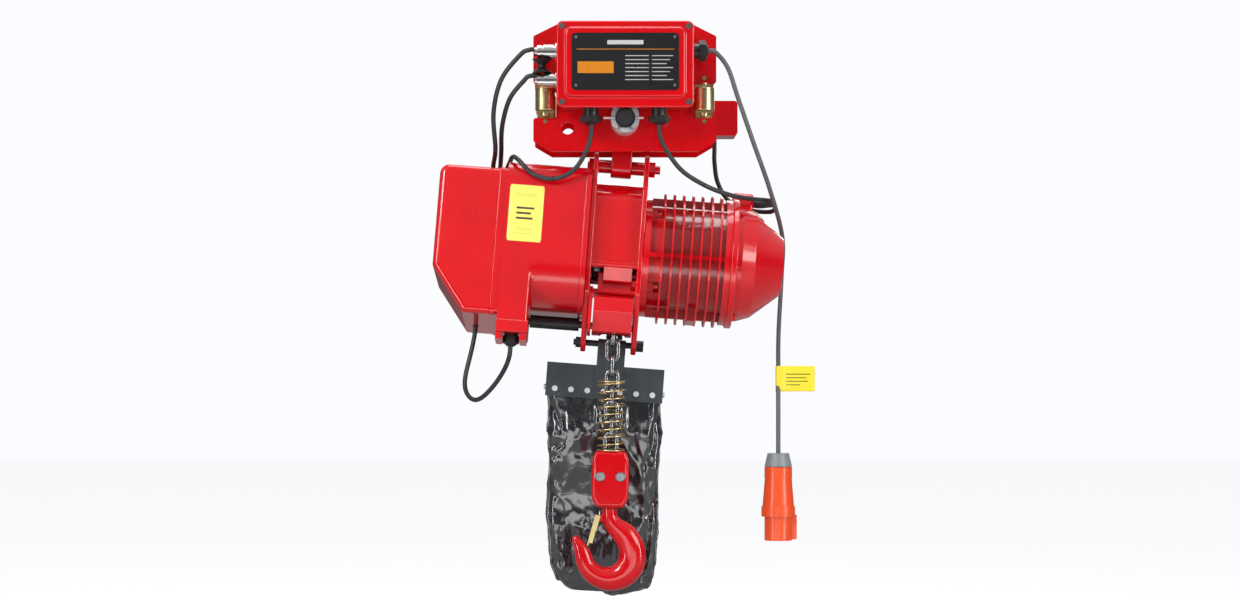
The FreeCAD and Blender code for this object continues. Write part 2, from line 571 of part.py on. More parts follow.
# ---- frame plates
FRAME = [(-25, -58), (25, -58), (60, -100), (128, -118), (152, -150), (152, -330), (112, -372),
         (66, -436), (39.6, -446), (16, -436), (-30, -392), (-66, -345), (-72, -300),
         (-72, -132), (-50, -104)]
FRAME_RADII = [18, 18, 20, 20, 20, 20, 20, 12, 16, 12, 20, 20, 20, 20, 14]
for name, x0, x1, bearing_r, bolts in (
        ("left_frame_plate", -FRAME_OUT, -FRAME_IN, 47.05, []),
        ("right_frame_plate", FRAME_IN, FRAME_OUT, 36.05, FLANGE_BOLTS)):
    holes = [(0, PIN_Z, 8.1), (*CROSS_BOLT, 6.1), (*MAIN, bearing_r), (*LIMIT, 7.06)]
    holes += [(*bolt, 6.1) for bolt in bolts]
    plate = slab_x(FRAME, FRAME_RADII, x0, x1)
    plate = plate.cut([cyl_x(x0 - 1, x1 + 1, *hole) for hole in holes])
    plate = soften(plate, 2.5, lambda e: (at_x(e, x0) or at_x(e, x1))
                   and not is_circle(e) and e.Length > 12)
    save(name, plate, HOIST)

# ---- suspension pin with its nuts, and the motor flange bolts
pins = [join([cyl_x(-FRAME_IN + 0.1, FRAME_IN - 0.1, 0, PIN_Z, 13.0),
              cyl_x(-FRAME_OUT - 12, FRAME_OUT + 22, 0, PIN_Z, 8.0),
              hex_x(FRAME_OUT + 0.1, FRAME_OUT + 12.1, 0, PIN_Z, 26),
              hex_x(-FRAME_OUT - 9, -FRAME_OUT - 0.1, 0, PIN_Z, 26)])]
for bolt in FLANGE_BOLTS:
    pins.append(join([cyl_x(FRAME_IN + 0.1, 86, *bolt, 6.0), hex_x(66.1, 77.1, *bolt, 20),
                      hex_x(FRAME_IN - 7.1, FRAME_IN - 0.1, *bolt, 19)]))
save("suspension_pin", group(pins), HOIST)

# ---- sheave housing: walls with a round lower lip on each, and a tongue inside the front wall
x0, x1 = -FRAME_IN + 0.05, FRAME_IN - 0.05
housing = slab_x([(-56, -150), (-20, -122), (100, -122), (136, -150), (136, -286), (-56, -286)],
                 [26, 26, 26, 26, 4, 4], x0, x1)
housing = housing.cut(slab_x([(-49, -154), (-17, -130), (97, -130), (129, -154), (129, -300),
                              (-49, -300)], [20, 20, 20, 20, 0, 0], x0 - 1, x1 + 1))
housing = housing.fuse([cyl_x(x0, x1, -51, -286, 8.0), cyl_x(x0, x1, 131, -286, 8.0)])
housing = housing.fuse(slab_x([(-58, -286), (-34, -286), (-28, -318), (-44, -318)],
                              [0, 0, 3, 3], SHEAVE_X - 27, SHEAVE_X + 27)).removeSplitter()
save("sheave_housing", housing, HOIST)


# ---- gear case and its cover
def case_slab(inset, x0, x1):
    """Slab with the case's outline drawn in by inset."""
    top, bottom = max(30 - inset, 6), max(78 - inset, 10)
    outline = rect(BODY_Y0 + inset, BODY_Y1 - inset, CASE_TOP - inset, CASE_BOTTOM + inset)
    return slab_x(outline, [top, top, bottom, bottom], x0, x1)


case = case_slab(0, CASE_SPLIT + 0.1, -FRAME_OUT - 0.1)
case = case.fuse(case_slab(-3, -FRAME_OUT - 10, -FRAME_OUT - 0.1)).removeSplitter()
case = soften(case, 2.0, lambda e: at_x(e, -FRAME_OUT - 10) and e.Length > 20)
case = case.cut(case_slab(8, CASE_SPLIT, -FRAME_OUT - 8.1))
case = case.cut([cyl_x(-FRAME_OUT - 12, -FRAME_OUT + 5, *MAIN, 47.05),
                 cyl_x(-FRAME_OUT - 12, -FRAME_OUT + 5, *LIMIT, 16)])
case = case.cut(cyl_x(-FRAME_OUT - 12, -FRAME_OUT + 5, *COUNTER, 13.05))
save("gear_case", case, HOIST)

NECK_X = CASE_LEFT + 59                 # right face of the neck that hangs from the cover
NECK_GLAND = (CASE_LEFT + 29.5, BODY_Y0 + 36)
cover = case_slab(0, CASE_LEFT + 0.1, CASE_SPLIT)
neck = slab_x(rect(BODY_Y0, BODY_Y0 + 150, -200, -436), [2, 2, 8, 8], CASE_LEFT + 0.1, NECK_X)
cover = cover.fuse(neck).removeSplitter()
cover = soften(cover, 6.0, lambda e: at_x(e, NECK_X) and e.BoundBox.ZMin > -437
               and e.Length > 30 and not at_y(e, BODY_Y0 + 150))
cover = cover.fuse([box(x0, x1, BODY_Y0 + 2, BODY_Y0 + 70, -452, -430)
                    for x0, x1 in ((CASE_LEFT + 0.1, CASE_LEFT + 13), (NECK_X - 13, NECK_X))])
cover = cover.fuse(slab_x(rect(BODY_Y0 - 3, BODY_Y0 + 20, -414, -438), [3, 0, 0, 3],
                          CASE_LEFT + 0.1, CASE_LEFT + 60.5)).removeSplitter()
cover = cover.cut(case_slab(8, CASE_LEFT + 30, CASE_SPLIT + 1))
cover = cover.cut([box(CASE_LEFT + 8, CASE_LEFT + 51, BODY_Y0 + 8, BODY_Y0 + 142, -428, -330),
                   cyl_z(-440, -420, *NECK_GLAND, 10.2)])
cover = cover.cut([cyl_x(CASE_LEFT - 2, CASE_LEFT + 40, MAIN_Y + 60, MAIN_Z + 30, 22),
                   cyl_x(CASE_LEFT + 50, CASE_LEFT + 62, *LIMIT, 7.06)])
cover = cover.cut([cyl_x(CASE_LEFT + 22, CASE_LEFT + 40, *axis, 13.05)
                   for axis in (MAIN, COUNTER)])
save("gear_case_cover", cover, HOIST)

# ---- electric box cover
BOX_TOP_HOLES = [(-250.0, 20.0), (-238.0, 60.0)]    # x, y
cover = slab_y([(BOX_LEFT, -120), (BOX_RIGHT, -120), (BOX_RIGHT, -405), (-282, -405),
                (BOX_LEFT, -318)], [18, 3, 3, 6, 6], BODY_Y0 + 2, BODY_Y1 - 2)
cover = soften(cover, 11.0, lambda e: (at_y(e, BODY_Y0 + 2) or at_y(e, BODY_Y1 - 2))
               and not at_x(e, BOX_RIGHT))
rim = slab_x(rect(BODY_Y0, BODY_Y1, -118, -407), 12, BOX_RIGHT - 9, BOX_RIGHT)
rim = soften(rim, 2.0, lambda e: at_x(e, BOX_RIGHT - 9))
cover = cover.fuse(rim).removeSplitter()
cover = cover.cut(slab_y([(BOX_LEFT + 4, -124), (BOX_RIGHT + 5, -124), (BOX_RIGHT + 5, -401),
                          (-280.3, -401), (BOX_LEFT + 4, -319.5)], [14, 0, 0, 5, 5],
                         BODY_Y0 + 8, BODY_Y1 - 8))
for x, y in BOX_TOP_HOLES:
    cover = cover.cut(cyl_z(-130, -110, x, y, 7.2))
cover = cover.cut(cyl_z(-410, -395, -262, 70, 7.2))
save("electric_box_cover", cover, HOIST)

# ---- panel with three contactors, transformer and switch block, and the joint's seal
panel = [box(BOX_RIGHT + 0.6, BOX_RIGHT + 5.4, BODY_Y0 + 14, BODY_Y1 - 14, -392, -134)]
for y in (-62, -4, 54):
    panel.append(box(BOX_RIGHT - 70, BOX_RIGHT + 0.5, y, y + 45, -215, -140))
    panel.append(box(BOX_RIGHT - 78, BOX_RIGHT - 70.1, y + 12, y + 33, -200, -155))
panel.append(box(BOX_RIGHT - 75, BOX_RIGHT + 0.5, -50, 36, -330, -236))
panel.append(box(BOX_RIGHT - 46, BOX_RIGHT + 0.5, 60, 130, -320, -250))
seal = slab_x(rect(BODY_Y0 + 1, BODY_Y1 - 1, -119, -406), 12, BOX_RIGHT + 0.05, CASE_LEFT - 0.05)
panel.append(seal.cut(slab_x(rect(BODY_Y0 + 11, BODY_Y1 - 11, -129, -396), 8,
                             BOX_RIGHT - 1, CASE_LEFT + 1)))
save("electric_panel", group(panel), HOIST)

# ---- motor housing: barrel with round fins, four ribs, a foot below and end flanges
motor = cyl_x(FRAME_OUT + 0.1, FRAME_OUT + 12, *MAIN, 116)
motor = motor.fuse(cyl_x(FRAME_OUT + 0.1, MOTOR_END, *MAIN, 102))
fins = [cyl_x(88.4 + 18.35 * i, 92.0 + 18.35 * i, *MAIN, BODY_R) for i in range(7)]
ribs = [about_main(box(FRAME_OUT + 12, MOTOR_END, 98, 118, -4, 4), angle)
        for angle in (188, 352, 90, 270)]
foot = box(148, 164, MAIN_Y - 26, MAIN_Y + 26, MAIN_Z - 124, MAIN_Z - 98)
motor = motor.multiFuse(fins + ribs + [foot, cyl_x(MOTOR_END - 12, MOTOR_END, *MAIN, 122)])
motor = motor.cut([cyl_x(FRAME_OUT + 10, MOTOR_END + 1, *MAIN, 92.0),
                   cyl_x(FRAME_OUT - 1, FRAME_OUT + 20, *MAIN, 36.05)])
for bolt in FLANGE_BOLTS:
    motor = motor.cut([cyl_x(FRAME_OUT - 1, 88, *bolt, 6.1), cyl_x(66.05, 88.4, *bolt, 13)])
save("motor_housing", motor.removeSplitter(), HOIST)

# ---- stator with 24 slots, and its windings
stator = ring_x(84, 176, *MAIN, 91.9, 56.5)
for i in range(24):
    stator = stator.cut(about_main(box(83, 177, 55, 72, -2.2, 2.2), i * 15.0))
save("motor_stator", group([stator, ring_x(70, 83.9, *MAIN, 86, 60),
                            ring_x(176.1, 190, *MAIN, 86, 60)]), HOIST)

# ---- motor end cover: a turned shell with an entry boss on top and screw heads round its rim
END_PROFILE = [     # x, radius
    (MOTOR_END + 0.1, 127), (MOTOR_END + 13, 127), (MOTOR_END + 13, 113), (MOTOR_END + 22, 112),
    (270, 103), (327, 55), (327, 0), (320, 0), (320, 51), (266, 96), (240, 104),
    (MOTOR_END + 0.1, 104)]
BOSS_X = 262
BOSS_Z = MAIN_Z + 122                   # height of the boss's two cable holes
BOSS_HOLES_Y = (MAIN_Y - 8, MAIN_Y + 14)
cover = revolve([Vec(x, MAIN_Y, MAIN_Z + r) for x, r in END_PROFILE], Vec(0, *MAIN), X_DIR)
cover = soften(cover, 3.0, lambda e: is_circle(e)
               and any(abs(e.Curve.Radius - r) < 0.2 for r in (127, 55, 103)))
boss = slab_x(rect(MAIN_Y - 30, MAIN_Y + 30, MAIN_Z + 95, MAIN_Z + 138), [0, 0, 12, 12],
              MOTOR_END + 0.1, BOSS_X)
boss = boss.cut(cyl_x(MOTOR_END - 5, 300, *MAIN, 103))
boss = soften(boss, 5.0, lambda e: (at_x(e, BOSS_X) or at_x(e, MOTOR_END + 0.1))
              and e.BoundBox.ZMin > MAIN_Z + 108)
boss = boss.cut([cyl_x(236, 270, y, BOSS_Z, 7.2) for y in BOSS_HOLES_Y])
cover = cover.fuse(boss).removeSplitter()
for i in range(6):
    screw = polar(MAIN, 116.5, 60 * i + 15)
    cover = cover.fuse(hex_x(MOTOR_END + 12.5, MOTOR_END + 18.5, *screw, 10))
save("motor_end_cover", cover.removeSplitter(), HOIST)

# ---- rotor: its shaft runs through the hollow sheave to the pinion in the gear case
save("motor_rotor", join([
    cyl_x(-124, 306, *MAIN, 9.0), cyl_x(86, 174, *MAIN, 56.0),
    gear_x(12, 1.4, -150, -124, *MAIN), cyl_x(-188, -150, *MAIN, 6.0),
    cyl_x(60, 84, *MAIN, 15.0), cyl_x(176, 200, *MAIN, 15.0)]), HOIST)

# ---- brake
save("brake_disc", join([ring_x(237.0, 243.0, *MAIN, 78, 12.0),
                         ring_x(230, 250, *MAIN, 20, 9.02)]), HOIST)
save("brake_armature", ring_x(243.7, 249.0, *MAIN, 74, 24), HOIST)
coil_body = ring_x(249.8, 288, *MAIN, 70, 24).cut(ring_x(249, 275, *MAIN, 60, 36))
save("brake_coil", group([coil_body, ring_x(251, 274.9, *MAIN, 59.9, 36.1),
                          ring_x(224, 236.2, *MAIN, 91, 24),
                          ring_x(222.5, 223.9, *MAIN, 102.7, 60)]), HOIST)

# ---- gear train: 12/96 module 1.4, then 12/72 module 1.8, both on 75.6 mm centres
save("countershaft_gear", join([
    gear_x(96, 1.4, -148, -128, *COUNTER, mesh_phase(COUNTER_ANGLE, 12, 96), bore=8),
    cyl_x(-186, -FRAME_OUT - 0.6, *COUNTER, 9.0), gear_x(12, 1.8, -118, -82, *COUNTER)]), HOIST)
load_gear = gear_x(72, 1.8, -114, -88, *MAIN, mesh_phase(COUNTER_ANGLE + 180, 12, 72), bore=22.0)
load_gear = load_gear.cut(ring_x(-115, -108, *MAIN, 54, 32)).cut(ring_x(-94, -87, *MAIN, 54, 32))
save("load_gear", load_gear, HOIST)

# ---- load sheave: four pockets, hollow, with journals on both sides
RIM_R = 40.0
SHEAVE_R = 39.57                # straight chain runs' distance from the sheave's axis
SHEAVE_X0, SHEAVE_X1 = SHEAVE_X - 17, SHEAVE_X + 17
sheave = cyl_x(SHEAVE_X0, SHEAVE_X1, *MAIN, RIM_R)
sheave = sheave.cut([
    about_main(box(-17.3, 17.3, -26.5, 26.5, SHEAVE_R - 13.0, 80), 22.5 + 90.0 * i, SHEAVE_X)
    for i in range(4)])
sheave = sheave.fuse([
    cyl_x(-114, SHEAVE_X0, *MAIN, 21.9), cyl_x(SHEAVE_X1, 56, *MAIN, 21.9),
    cyl_x(-38, SHEAVE_X0, *MAIN, 34), cyl_x(SHEAVE_X1, 40, *MAIN, 30)]).removeSplitter()
# groove for the upright links, and the bore
sheave = sheave.cut([ring_x(SHEAVE_X - 6.2, SHEAVE_X + 6.2, *MAIN, RIM_R + 2, 18.8),
                     cyl_x(-130, 80, *MAIN, 11.0)])
save("load_sheave", sheave, HOIST)

# ---- bearings, each an inner and an outer ring with a ball cage between
bearings = []
for x0, x1, axis, outer, inner in (
        (-FRAME_OUT - 8, -FRAME_IN + 1, MAIN, 47.0, 21.93),
        (FRAME_IN, FRAME_OUT, MAIN, 36.0, 21.93),
        (CASE_LEFT + 29, CASE_LEFT + 40, MAIN, 13.0, 6.03),
        (CASE_LEFT + 30, CASE_LEFT + 39, COUNTER, 13.0, 9.03),
        (-FRAME_OUT - 8, -FRAME_OUT - 1, COUNTER, 13.0, 9.03)):
    race = (outer - inner) * 0.28
    bearings += [ring_x(x0, x1, *axis, inner + race, inner),
                 ring_x(x0, x1, *axis, outer, outer - race),
                 ring_x(x0 + 2, x1 - 2, *axis, outer - race - 0.05, inner + race + 0.05)]
save("main_bearings", group(bearings), HOIST)

# ---- chain guide below the sheave, with a cheek left of the limit lever
guide = slab_x(rect(-30, 112, -296, -342), 6, SHEAVE_X - 37, SHEAVE_X + 35.8)
for y in (0.0, 2 * SHEAVE_R + 0.06):    # cross-shaped passages for the two runs
    guide = guide.cut([box(SHEAVE_X - 19, SHEAVE_X + 19, y - 7, y + 7, -350, -290),
                       box(SHEAVE_X - 7, SHEAVE_X + 7, y - 19, y + 19, -350, -290)])
guide = guide.cut(box(SHEAVE_X - 28, SHEAVE_X + 28, -50, -24, -330, -290))
guide = guide.cut(cyl_x(-60, 60, *MAIN, 50.0))
for bolt in FLANGE_BOLTS[2:]:           # clear of the lower flange bolts' heads
    guide = guide.cut(cyl_x(35.5, 60, *bolt, 12.5))
cheek = slab_x([(-44, -330), (6, -330), (20, -352), (20, -404), (2, -420), (-44, -420),
                (-58, -404), (-58, -346)], 5, -43.0, -37.0)
guide = guide.fuse(box(-43, SHEAVE_X - 36.9, -24, 18, -342, -330.5)).fuse(cheek)
guide = guide.removeSplitter().cut(cyl_x(-60, 60, *LIMIT, 14))
save("chain_guide", guide, HOIST)

# ---- limit lever: block the chain runs through, carried on a shaft to the switches
LEVER_X0, LEVER_X1 = -34.0, 42.0
lever = slab_x([(-44, -346), (16, -346), (26, -352), (26, -408), (16, -416), (-34, -416),
                (-54, -378), (-54, -352)], 4, LEVER_X0, LEVER_X1)
lever = lever.cut(slab_z(rect(SHEAVE_X - 26, SHEAVE_X + 24, -22, 22), 8, -430, -330))
ARM = [(20, -380), (LIMIT_Y, -382), (LIMIT_Y, -404), (20, -402)]
arm_starts = (LEVER_X0, LEVER_X1 - 10)
arms = [slab_x(ARM, 0, x, x + 10) for x in arm_starts]
arms += [cyl_x(x, x + 10, *LIMIT, 12) for x in arm_starts]
save("limit_lever", join([lever] + arms + [
    cyl_x(CASE_LEFT + 20, FRAME_OUT - 0.3, *LIMIT, 7.0),
    cyl_x(CASE_LEFT + 60.5, -FRAME_OUT - 6, *LIMIT, 12.5)]), HOIST)

# ---- lower cross bolt
save("cross_bolt", join([cyl_x(-FRAME_OUT - 14, FRAME_OUT + 0.5, *CROSS_BOLT, 6.0),
                         hex_x(FRAME_OUT + 0.1, FRAME_OUT + 14.1, *CROSS_BOLT, 19),
                         hex_x(-FRAME_OUT - 10, -FRAME_OUT - 0.1, *CROSS_BOLT, 18)]), HOIST)

# ================================================================== CHAIN
WIRE, WIRE_NOMINAL = 9.8, 10.0  # load chain 10 x 30
CHAIN_PITCH = 30.0
BEND_R = 11.25                  # of the wire's centre line at a link's ends
FLAT_R, UPRIGHT_R = 38.38, 34.28    # flat and upright links' centres over the sheave
CHAIN_EXIT = -429.5             # contact point below the last link held by the guide


def make_link():
    """One chain link standing in the XZ plane, centred on the origin, long axis on Z."""
    half = (CHAIN_PITCH + WIRE_NOMINAL) / 2.0 - BEND_R
    parts = [cyl_z(-half, half, end * BEND_R, 0, WIRE / 2) for end in (-1, 1)]
    for end, z0, z1 in ((1, 0, 60), (-1, -60, 0)):
        bend = Part.makeTorus(BEND_R, WIRE / 2, ORIGIN, Y_DIR)
        bend = bend.common(box(-60, 60, -60, 60, z0, z1))
        bend.translate(Vec(0, 0, end * half))
        parts.append(bend)
    return join(parts)


LINK = make_link()


def link_at(centre, axis, flat):
    """Link with its long axis on axis (in the YZ plane) and its width along X, or across if flat."""
    axis = Vec(*axis).normalize()
    width = X_DIR
    side = axis.cross(width)
    if flat:
        width, side = side, width * -1
    cells = [value for row in zip(width, side, axis, Vec(*centre)) for value in row]
    return placed(LINK, Place(FreeCAD.Matrix(*cells, 0, 0, 0, 1)))


def run(start, axis, count, flat_first=True):
    """Straight run of links, alternately flat and upright."""
    return [link_at(Vec(*start) + axis * (CHAIN_PITCH * i), axis, (i % 2 == 0) == flat_first)
            for i in range(count)]


def below(y, crown_z):
    """Crown centre of a plumb link hooked into one that the hoist holds, crown at (y, crown_z)."""
    up = HOIST.Rotation.multVec(Z_DIR) + Z_DIR
    up.normalize()
    return HOIST.multVec(Vec(SHEAVE_X, y, crown_z)) + up * (WIRE + 0.4)


# ---- load run with the turn over the sheave: flat links in the pockets, upright ones between
links = run((SHEAVE_X, 0, CHAIN_EXIT + 15.0), Z_DIR, 6)
links.append(link_at((SHEAVE_X, MAIN_Y - 35.58, MAIN_Z + 14.76), (0, 7.97, 18.52), True))
for angle, radius, flat in ((112.5, UPRIGHT_R, False), (67.5, FLAT_R, True),
                            (22.5, UPRIGHT_R, False)):
    links.append(link_at((SHEAVE_X, *polar(MAIN, radius, angle)),
                         (0, *polar((0, 0), 1, angle + 90)), flat))
save("load_chain", group(links), HOIST)

# ---- slack run: held by the hoist, then plumb, then resting back along the bag's sloping front
SLACK_Z = MAIN_Z - 15.5
held = run((SHEAVE_X, 2 * MAIN_Y, SLACK_Z), Z_DIR * -1, 4)
drop = below(2 * MAIN_Y, SLACK_Z - 3 * CHAIN_PITCH - 20.0)
plumb = run(drop - Z_DIR * 20.0, Z_DIR * -1, 4)
slope = Vec(0, math.sin(math.radians(8)), -math.cos(math.radians(8)))
bend = drop - Z_DIR * (20.0 + CHAIN_PITCH * 3.5)
rest = run(bend + slope * (CHAIN_PITCH / 2 - 0.1), slope, 5)
save("slack_chain", group([placed(group(held), HOIST)] + plumb + rest))


# ================================================================== CABLES
def on_hoist(x, y, z):
    """Point of the body frame taken into the load shaft's frame."""
    return HOIST.multVec(Vec(x, y, z))


# ---- two from the control box's connectors to the electric box's top
cables = []
for z, hole, points in (
        (CONNECTOR_Z[0], BOX_TOP_HOLES[0],
         [(-204, -118, 113), (-238, -106, 70), (-252, -78, 12), (-250, -40, -50)]),
        (CONNECTOR_Z[1], BOX_TOP_HOLES[1],
         [(-196, -117, 62), (-222, -99, 32), (-236, -60, -10), (-240, -8, -55)])):
    cables.append(cable([(-172.4, ENTRY_Y, z), (-182, ENTRY_Y, z - 1.5)] + points
                        + [on_hoist(*hole, -92), on_hoist(*hole, -118)]))
# ---- from the lower left gland to above the gear case
cables.append(cable([
    (-GLAND_X, ENTRY_Y, -12.5), (-GLAND_X, ENTRY_Y, -30), (-74, -121, -62), (-98, -118, -98),
    (-136, -112, -114), (-176, -104, -104), (-206, -92, -74),
    on_hoist(-212, -30, -86), on_hoist(-218, 20, -84)]))
# ---- from the lower right gland, and from beside the travel motor, to the motor end's boss
cables.append(cable([
    (GLAND_X, ENTRY_Y, -12.5), (GLAND_X, ENTRY_Y, -24), (74, -120, -52), (106, -112, -96),
    (150, -98, -124), (196, -70, -140), (238, -36, -146),
    on_hoist(BOSS_X + 40, MAIN_Y - 12, MAIN_Z + 128),
    on_hoist(BOSS_X + 17, BOSS_HOLES_Y[0], BOSS_Z)]))
cables.append(cable([
    (184, 190, -34), (184, 188, -58), (190, 172, -100), (212, 140, -140), (252, 100, -160),
    (290, 50, -166), on_hoist(BOSS_X + 44, MAIN_Y + 16, MAIN_Z + 126),
    on_hoist(BOSS_X + 17, BOSS_HOLES_Y[1], BOSS_Z)]))
save("hoist_cables", group(cables))

# ---- supply cable with tag
PLUG = (302.0, 30.0)            # x, y
SUPPLY = [(158.4, ENTRY_Y, 128), (172, ENTRY_Y, 126), (196, -118, 96), (216, -106, 40),
          (246, -80, -40), (282, -30, -130), (312, 60, -215), (318, 165, -290),
          (309, 120, -400), (304, 60, -480), (*PLUG, -560), (*PLUG, -640)]
tag = slab_y(rect(304, 377, -520, -470), 2, 43, 44.4)
save("supply_cable", group([cable(SUPPLY, 4.4), tag.cut(cable(SUPPLY, 4.6))]))

# ---- plug: stepped body with a key and five pins, and its gland nut
body = join([cyl_z(-812, -760, *PLUG, 27), cyl_z(-765, -745, *PLUG, 33),
             Part.makeCone(31, 26, 60, Vec(*PLUG, -746)), cyl_z(-690, -668, *PLUG, 27),
             cyl_z(-668, -655, *PLUG, 16)])
body = body.cut(cyl_z(-813, -778, *PLUG, 24))
pins = [cyl_z(-806, -777, *polar(PLUG, 14, 72 * i), 3.5 if i == 3 else 2.5) for i in range(5)]
key = box(PLUG[0] + 25, PLUG[0] + 36, PLUG[1] - 5, PLUG[1] + 5, -810, -762)
body = join([body, key] + pins).cut(cyl_z(-670, -640, *PLUG, 4.6))
nut = Part.makeCone(27, 21, 26, Vec(*PLUG, -667)).cut(cyl_z(-668, -654.9, *PLUG, 16.05))
save("supply_plug", group([body, nut.cut(cyl_z(-670, -630, *PLUG, 4.6))]))

# ---- loop cable from a gland under the case cover's neck to the electric box's underside
loop = cable([(*NECK_GLAND, -460.4), (NECK_GLAND[0], BODY_Y0 + 38, -474),
              (CASE_LEFT + 19, BODY_Y0 + 62, -505), (-222, 5, -540), (-250, 34, -556),
              (-270, 56, -536), (-270, 68, -480), (-263, 70, -430), (-262, 70, -398)])
neck_gland = gland((*NECK_GLAND, -436), Z_DIR * -1, collar_r=13, across=27, collar=4, length=18)
save("loop_cable", group([neck_gland, loop]), HOIST)

# ================================================================== HOOK ASSEMBLY
# Hangs plumb but for LEAN. Origin at the crown centre of the first free link's top wire.
HANG = Place(below(0, CHAIN_EXIT - 5.0), Turn(Y_DIR, LEAN))
FREE_LINKS = 8
LAST_LINK_Z = -20.0 - CHAIN_PITCH * (FREE_LINKS - 1)    # this one sits in the block
BLOCK_TOP = -215.0
BLOCK_BOTTOM = BLOCK_TOP - 108.0
save("hook_chain", group(run((0, 0, -20.0), Z_DIR * -1, FREE_LINKS, flat_first=False)), HANG)

# ---- buffer spring round the chain, standing on the block
COIL_PITCH, COILS, COIL_WIRE_R, COIL_R = 14.6, 9.0, 1.6, 25.5
helix = Part.Wire(Part.makeHelix(COIL_PITCH, COIL_PITCH * COILS, COIL_R).Edges)
edge = helix.Edges[0]
start = edge.FirstParameter
circle = Part.makeCircle(COIL_WIRE_R, edge.valueAt(start), edge.tangentAt(start))
spring = helix.makePipeShell([Part.Wire(circle)], True, True)
COIL_Z = BLOCK_TOP + COIL_WIRE_R + 0.8
spring.translate(Vec(0, 0, COIL_Z))
end_rings = [Part.makeTorus(COIL_R, COIL_WIRE_R, Vec(0, 0, z))
             for z in (BLOCK_TOP + COIL_WIRE_R + 0.05, COIL_Z + COIL_PITCH * COILS + 0.3)]
save("buffer_spring", join([spring] + end_rings), HANG)

# ---- hook block: two halves bolted together round the last link and the hook's head
BLOCK_BOLTS = [(x, BLOCK_TOP - 49) for x in (-19.5, 19.5)]
BLOCK = [(-29, 0), (-35, -14), (-36, -50), (-35, -92), (-26, -108),     # x, z below the top
         (26, -108), (35, -92), (36, -50), (35, -14), (29, 0)]
END_PIN_Z = LAST_LINK_Z - 10.2


def block_half(side):
    """Half of the block: side is -1 for the front, 1 for the rear."""
    half = slab_y([(x, BLOCK_TOP + z) for x, z in BLOCK],
                  [4, 12, 20, 12, 10, 10, 12, 20, 12, 4], side * 0.05, side * 26)
    half = soften(half, 7.0, lambda e: at_y(e, 26.0 * side))
    for bolt in BLOCK_BOLTS:
        half = half.cut(cyl_y(side * 17, side * 37, *bolt, 9.5))
        half = half.cut(cyl_y(-side, side * 39, *bolt, 5.1))
    # chain well, hook head chamber and neck bore
    chamber = cyl_z(BLOCK_TOP - 108, BLOCK_TOP - 50, 0, 0, 12.0)
    chamber = chamber.fuse(cyl_z(BLOCK_TOP - 90, BLOCK_TOP - 64, 0, 0, 22.0))
    half = half.cut([cyl_z(BLOCK_TOP - 52, BLOCK_TOP + 1, 0, 0, 17.6), chamber])
    half = half.cut(cyl_z(BLOCK_TOP - 110, BLOCK_TOP - 88, 0, 0, 15.2))
    return half.cut(cyl_x(-24.1, 24.1, 0, END_PIN_Z, 4.55))


block = [block_half(-1), block_half(1)]
for bolt in BLOCK_BOLTS:
    head = cyl_y(-24.5, -17.1, *bolt, 7.5).cut(hex_y(-24.6, -20.6, *bolt, 7))
    block.append(join([head, cyl_y(-17.1, 18.9, *bolt, 5.0), hex_y(17.1, 24.6, *bolt, 14)]))
block.append(cyl_x(-24, 24, 0, END_PIN_Z, 4.5))     # chain end pin
save("hook_block", group(block), HANG)

# ---- hook: oval sections down the shank and round the bowl to the tip
# inner point x, z and outer point x, z (z from the block's bottom), thickness along Y
HOOK = [
    (-14.5, 9, 14.5, 9, 29), (-14.5, -2, 14.5, -2, 29), (-14.5, -7, 14.5, -7, 29),
    (-14.4, -15, 14.7, -12, 29), (-12.5, -29, 18.2, -19, 30), (-7.0, -42.5, 25.0, -24.0, 31),
    (1.0, -54.0, 35.5, -29.0, 32), (9.0, -63.5, 47.0, -37.5, 33), (15.0, -72.5, 57.0, -50.0, 33.5),
    (18.8, -82.0, 66.0, -67.0, 34), (19.8, -91.5, 70.9, -87.0, 34), (18.4, -99.5, 69.6, -109.5, 34),
    (14.1, -106.7, 58.2, -134.6, 34), (6.5, -112.7, 36.0, -153.5, 34),
    (-2.6, -115.5, 8.7, -161.3, 33.5), (-12.0, -114.8, -19.7, -157.3, 33),
    (-20.7, -110.5, -43.3, -142.9, 32), (-27.6, -104.3, -57.8, -123.3, 30),
    (-32.0, -95.4, -64.8, -101.2, 27.5), (-38.9, -80.5, -67.3, -83.2, 24),
    (-47.6, -69.0, -69.8, -73.1, 20), (-56.7, -60.5, -71.6, -64.9, 15),
    (-63.8, -55.6, -72.0, -59.6, 9)]


def hook_section(inner_x, inner_z, outer_x, outer_z, thickness):
    centre = Vec((inner_x + outer_x) / 2.0, 0, BLOCK_BOTTOM + (inner_z + outer_z) / 2.0)
    reach = Vec((outer_x - inner_x) / 2.0, 0, (outer_z - inner_z) / 2.0)
    points = []
    for i in range(16):
        along, across = polar((0, 0), 1, i * 22.5)
        points.append(centre + reach * along + Vec(0, thickness / 2.0 * across, 0))
    oval = Part.BSplineCurve()
    oval.interpolate(Points=points, PeriodicFlag=True)
    return Part.Wire(oval.toShape())


LATCH_X, LATCH_Z = -24.0, BLOCK_BOTTOM - 21.5       # latch pin
hook = Part.makeLoft([hook_section(*row) for row in HOOK], True, False)
head = cyl_z(BLOCK_TOP - 88, BLOCK_TOP - 66, 0, 0, 21.6)
head = head.fuse(cyl_z(BLOCK_BOTTOM + 2.0, BLOCK_TOP - 70, 0, 0, 11.6))
hook = hook.fuse(head).removeSplitter()
ear = box(-28, -11.5, -7, 7, BLOCK_BOTTOM - 28, BLOCK_BOTTOM - 15)
hook = hook.fuse(ear.cut(cyl_y(-20, 20, LATCH_X, LATCH_Z, 2.1))).removeSplitter()
save("hook", hook, HANG)

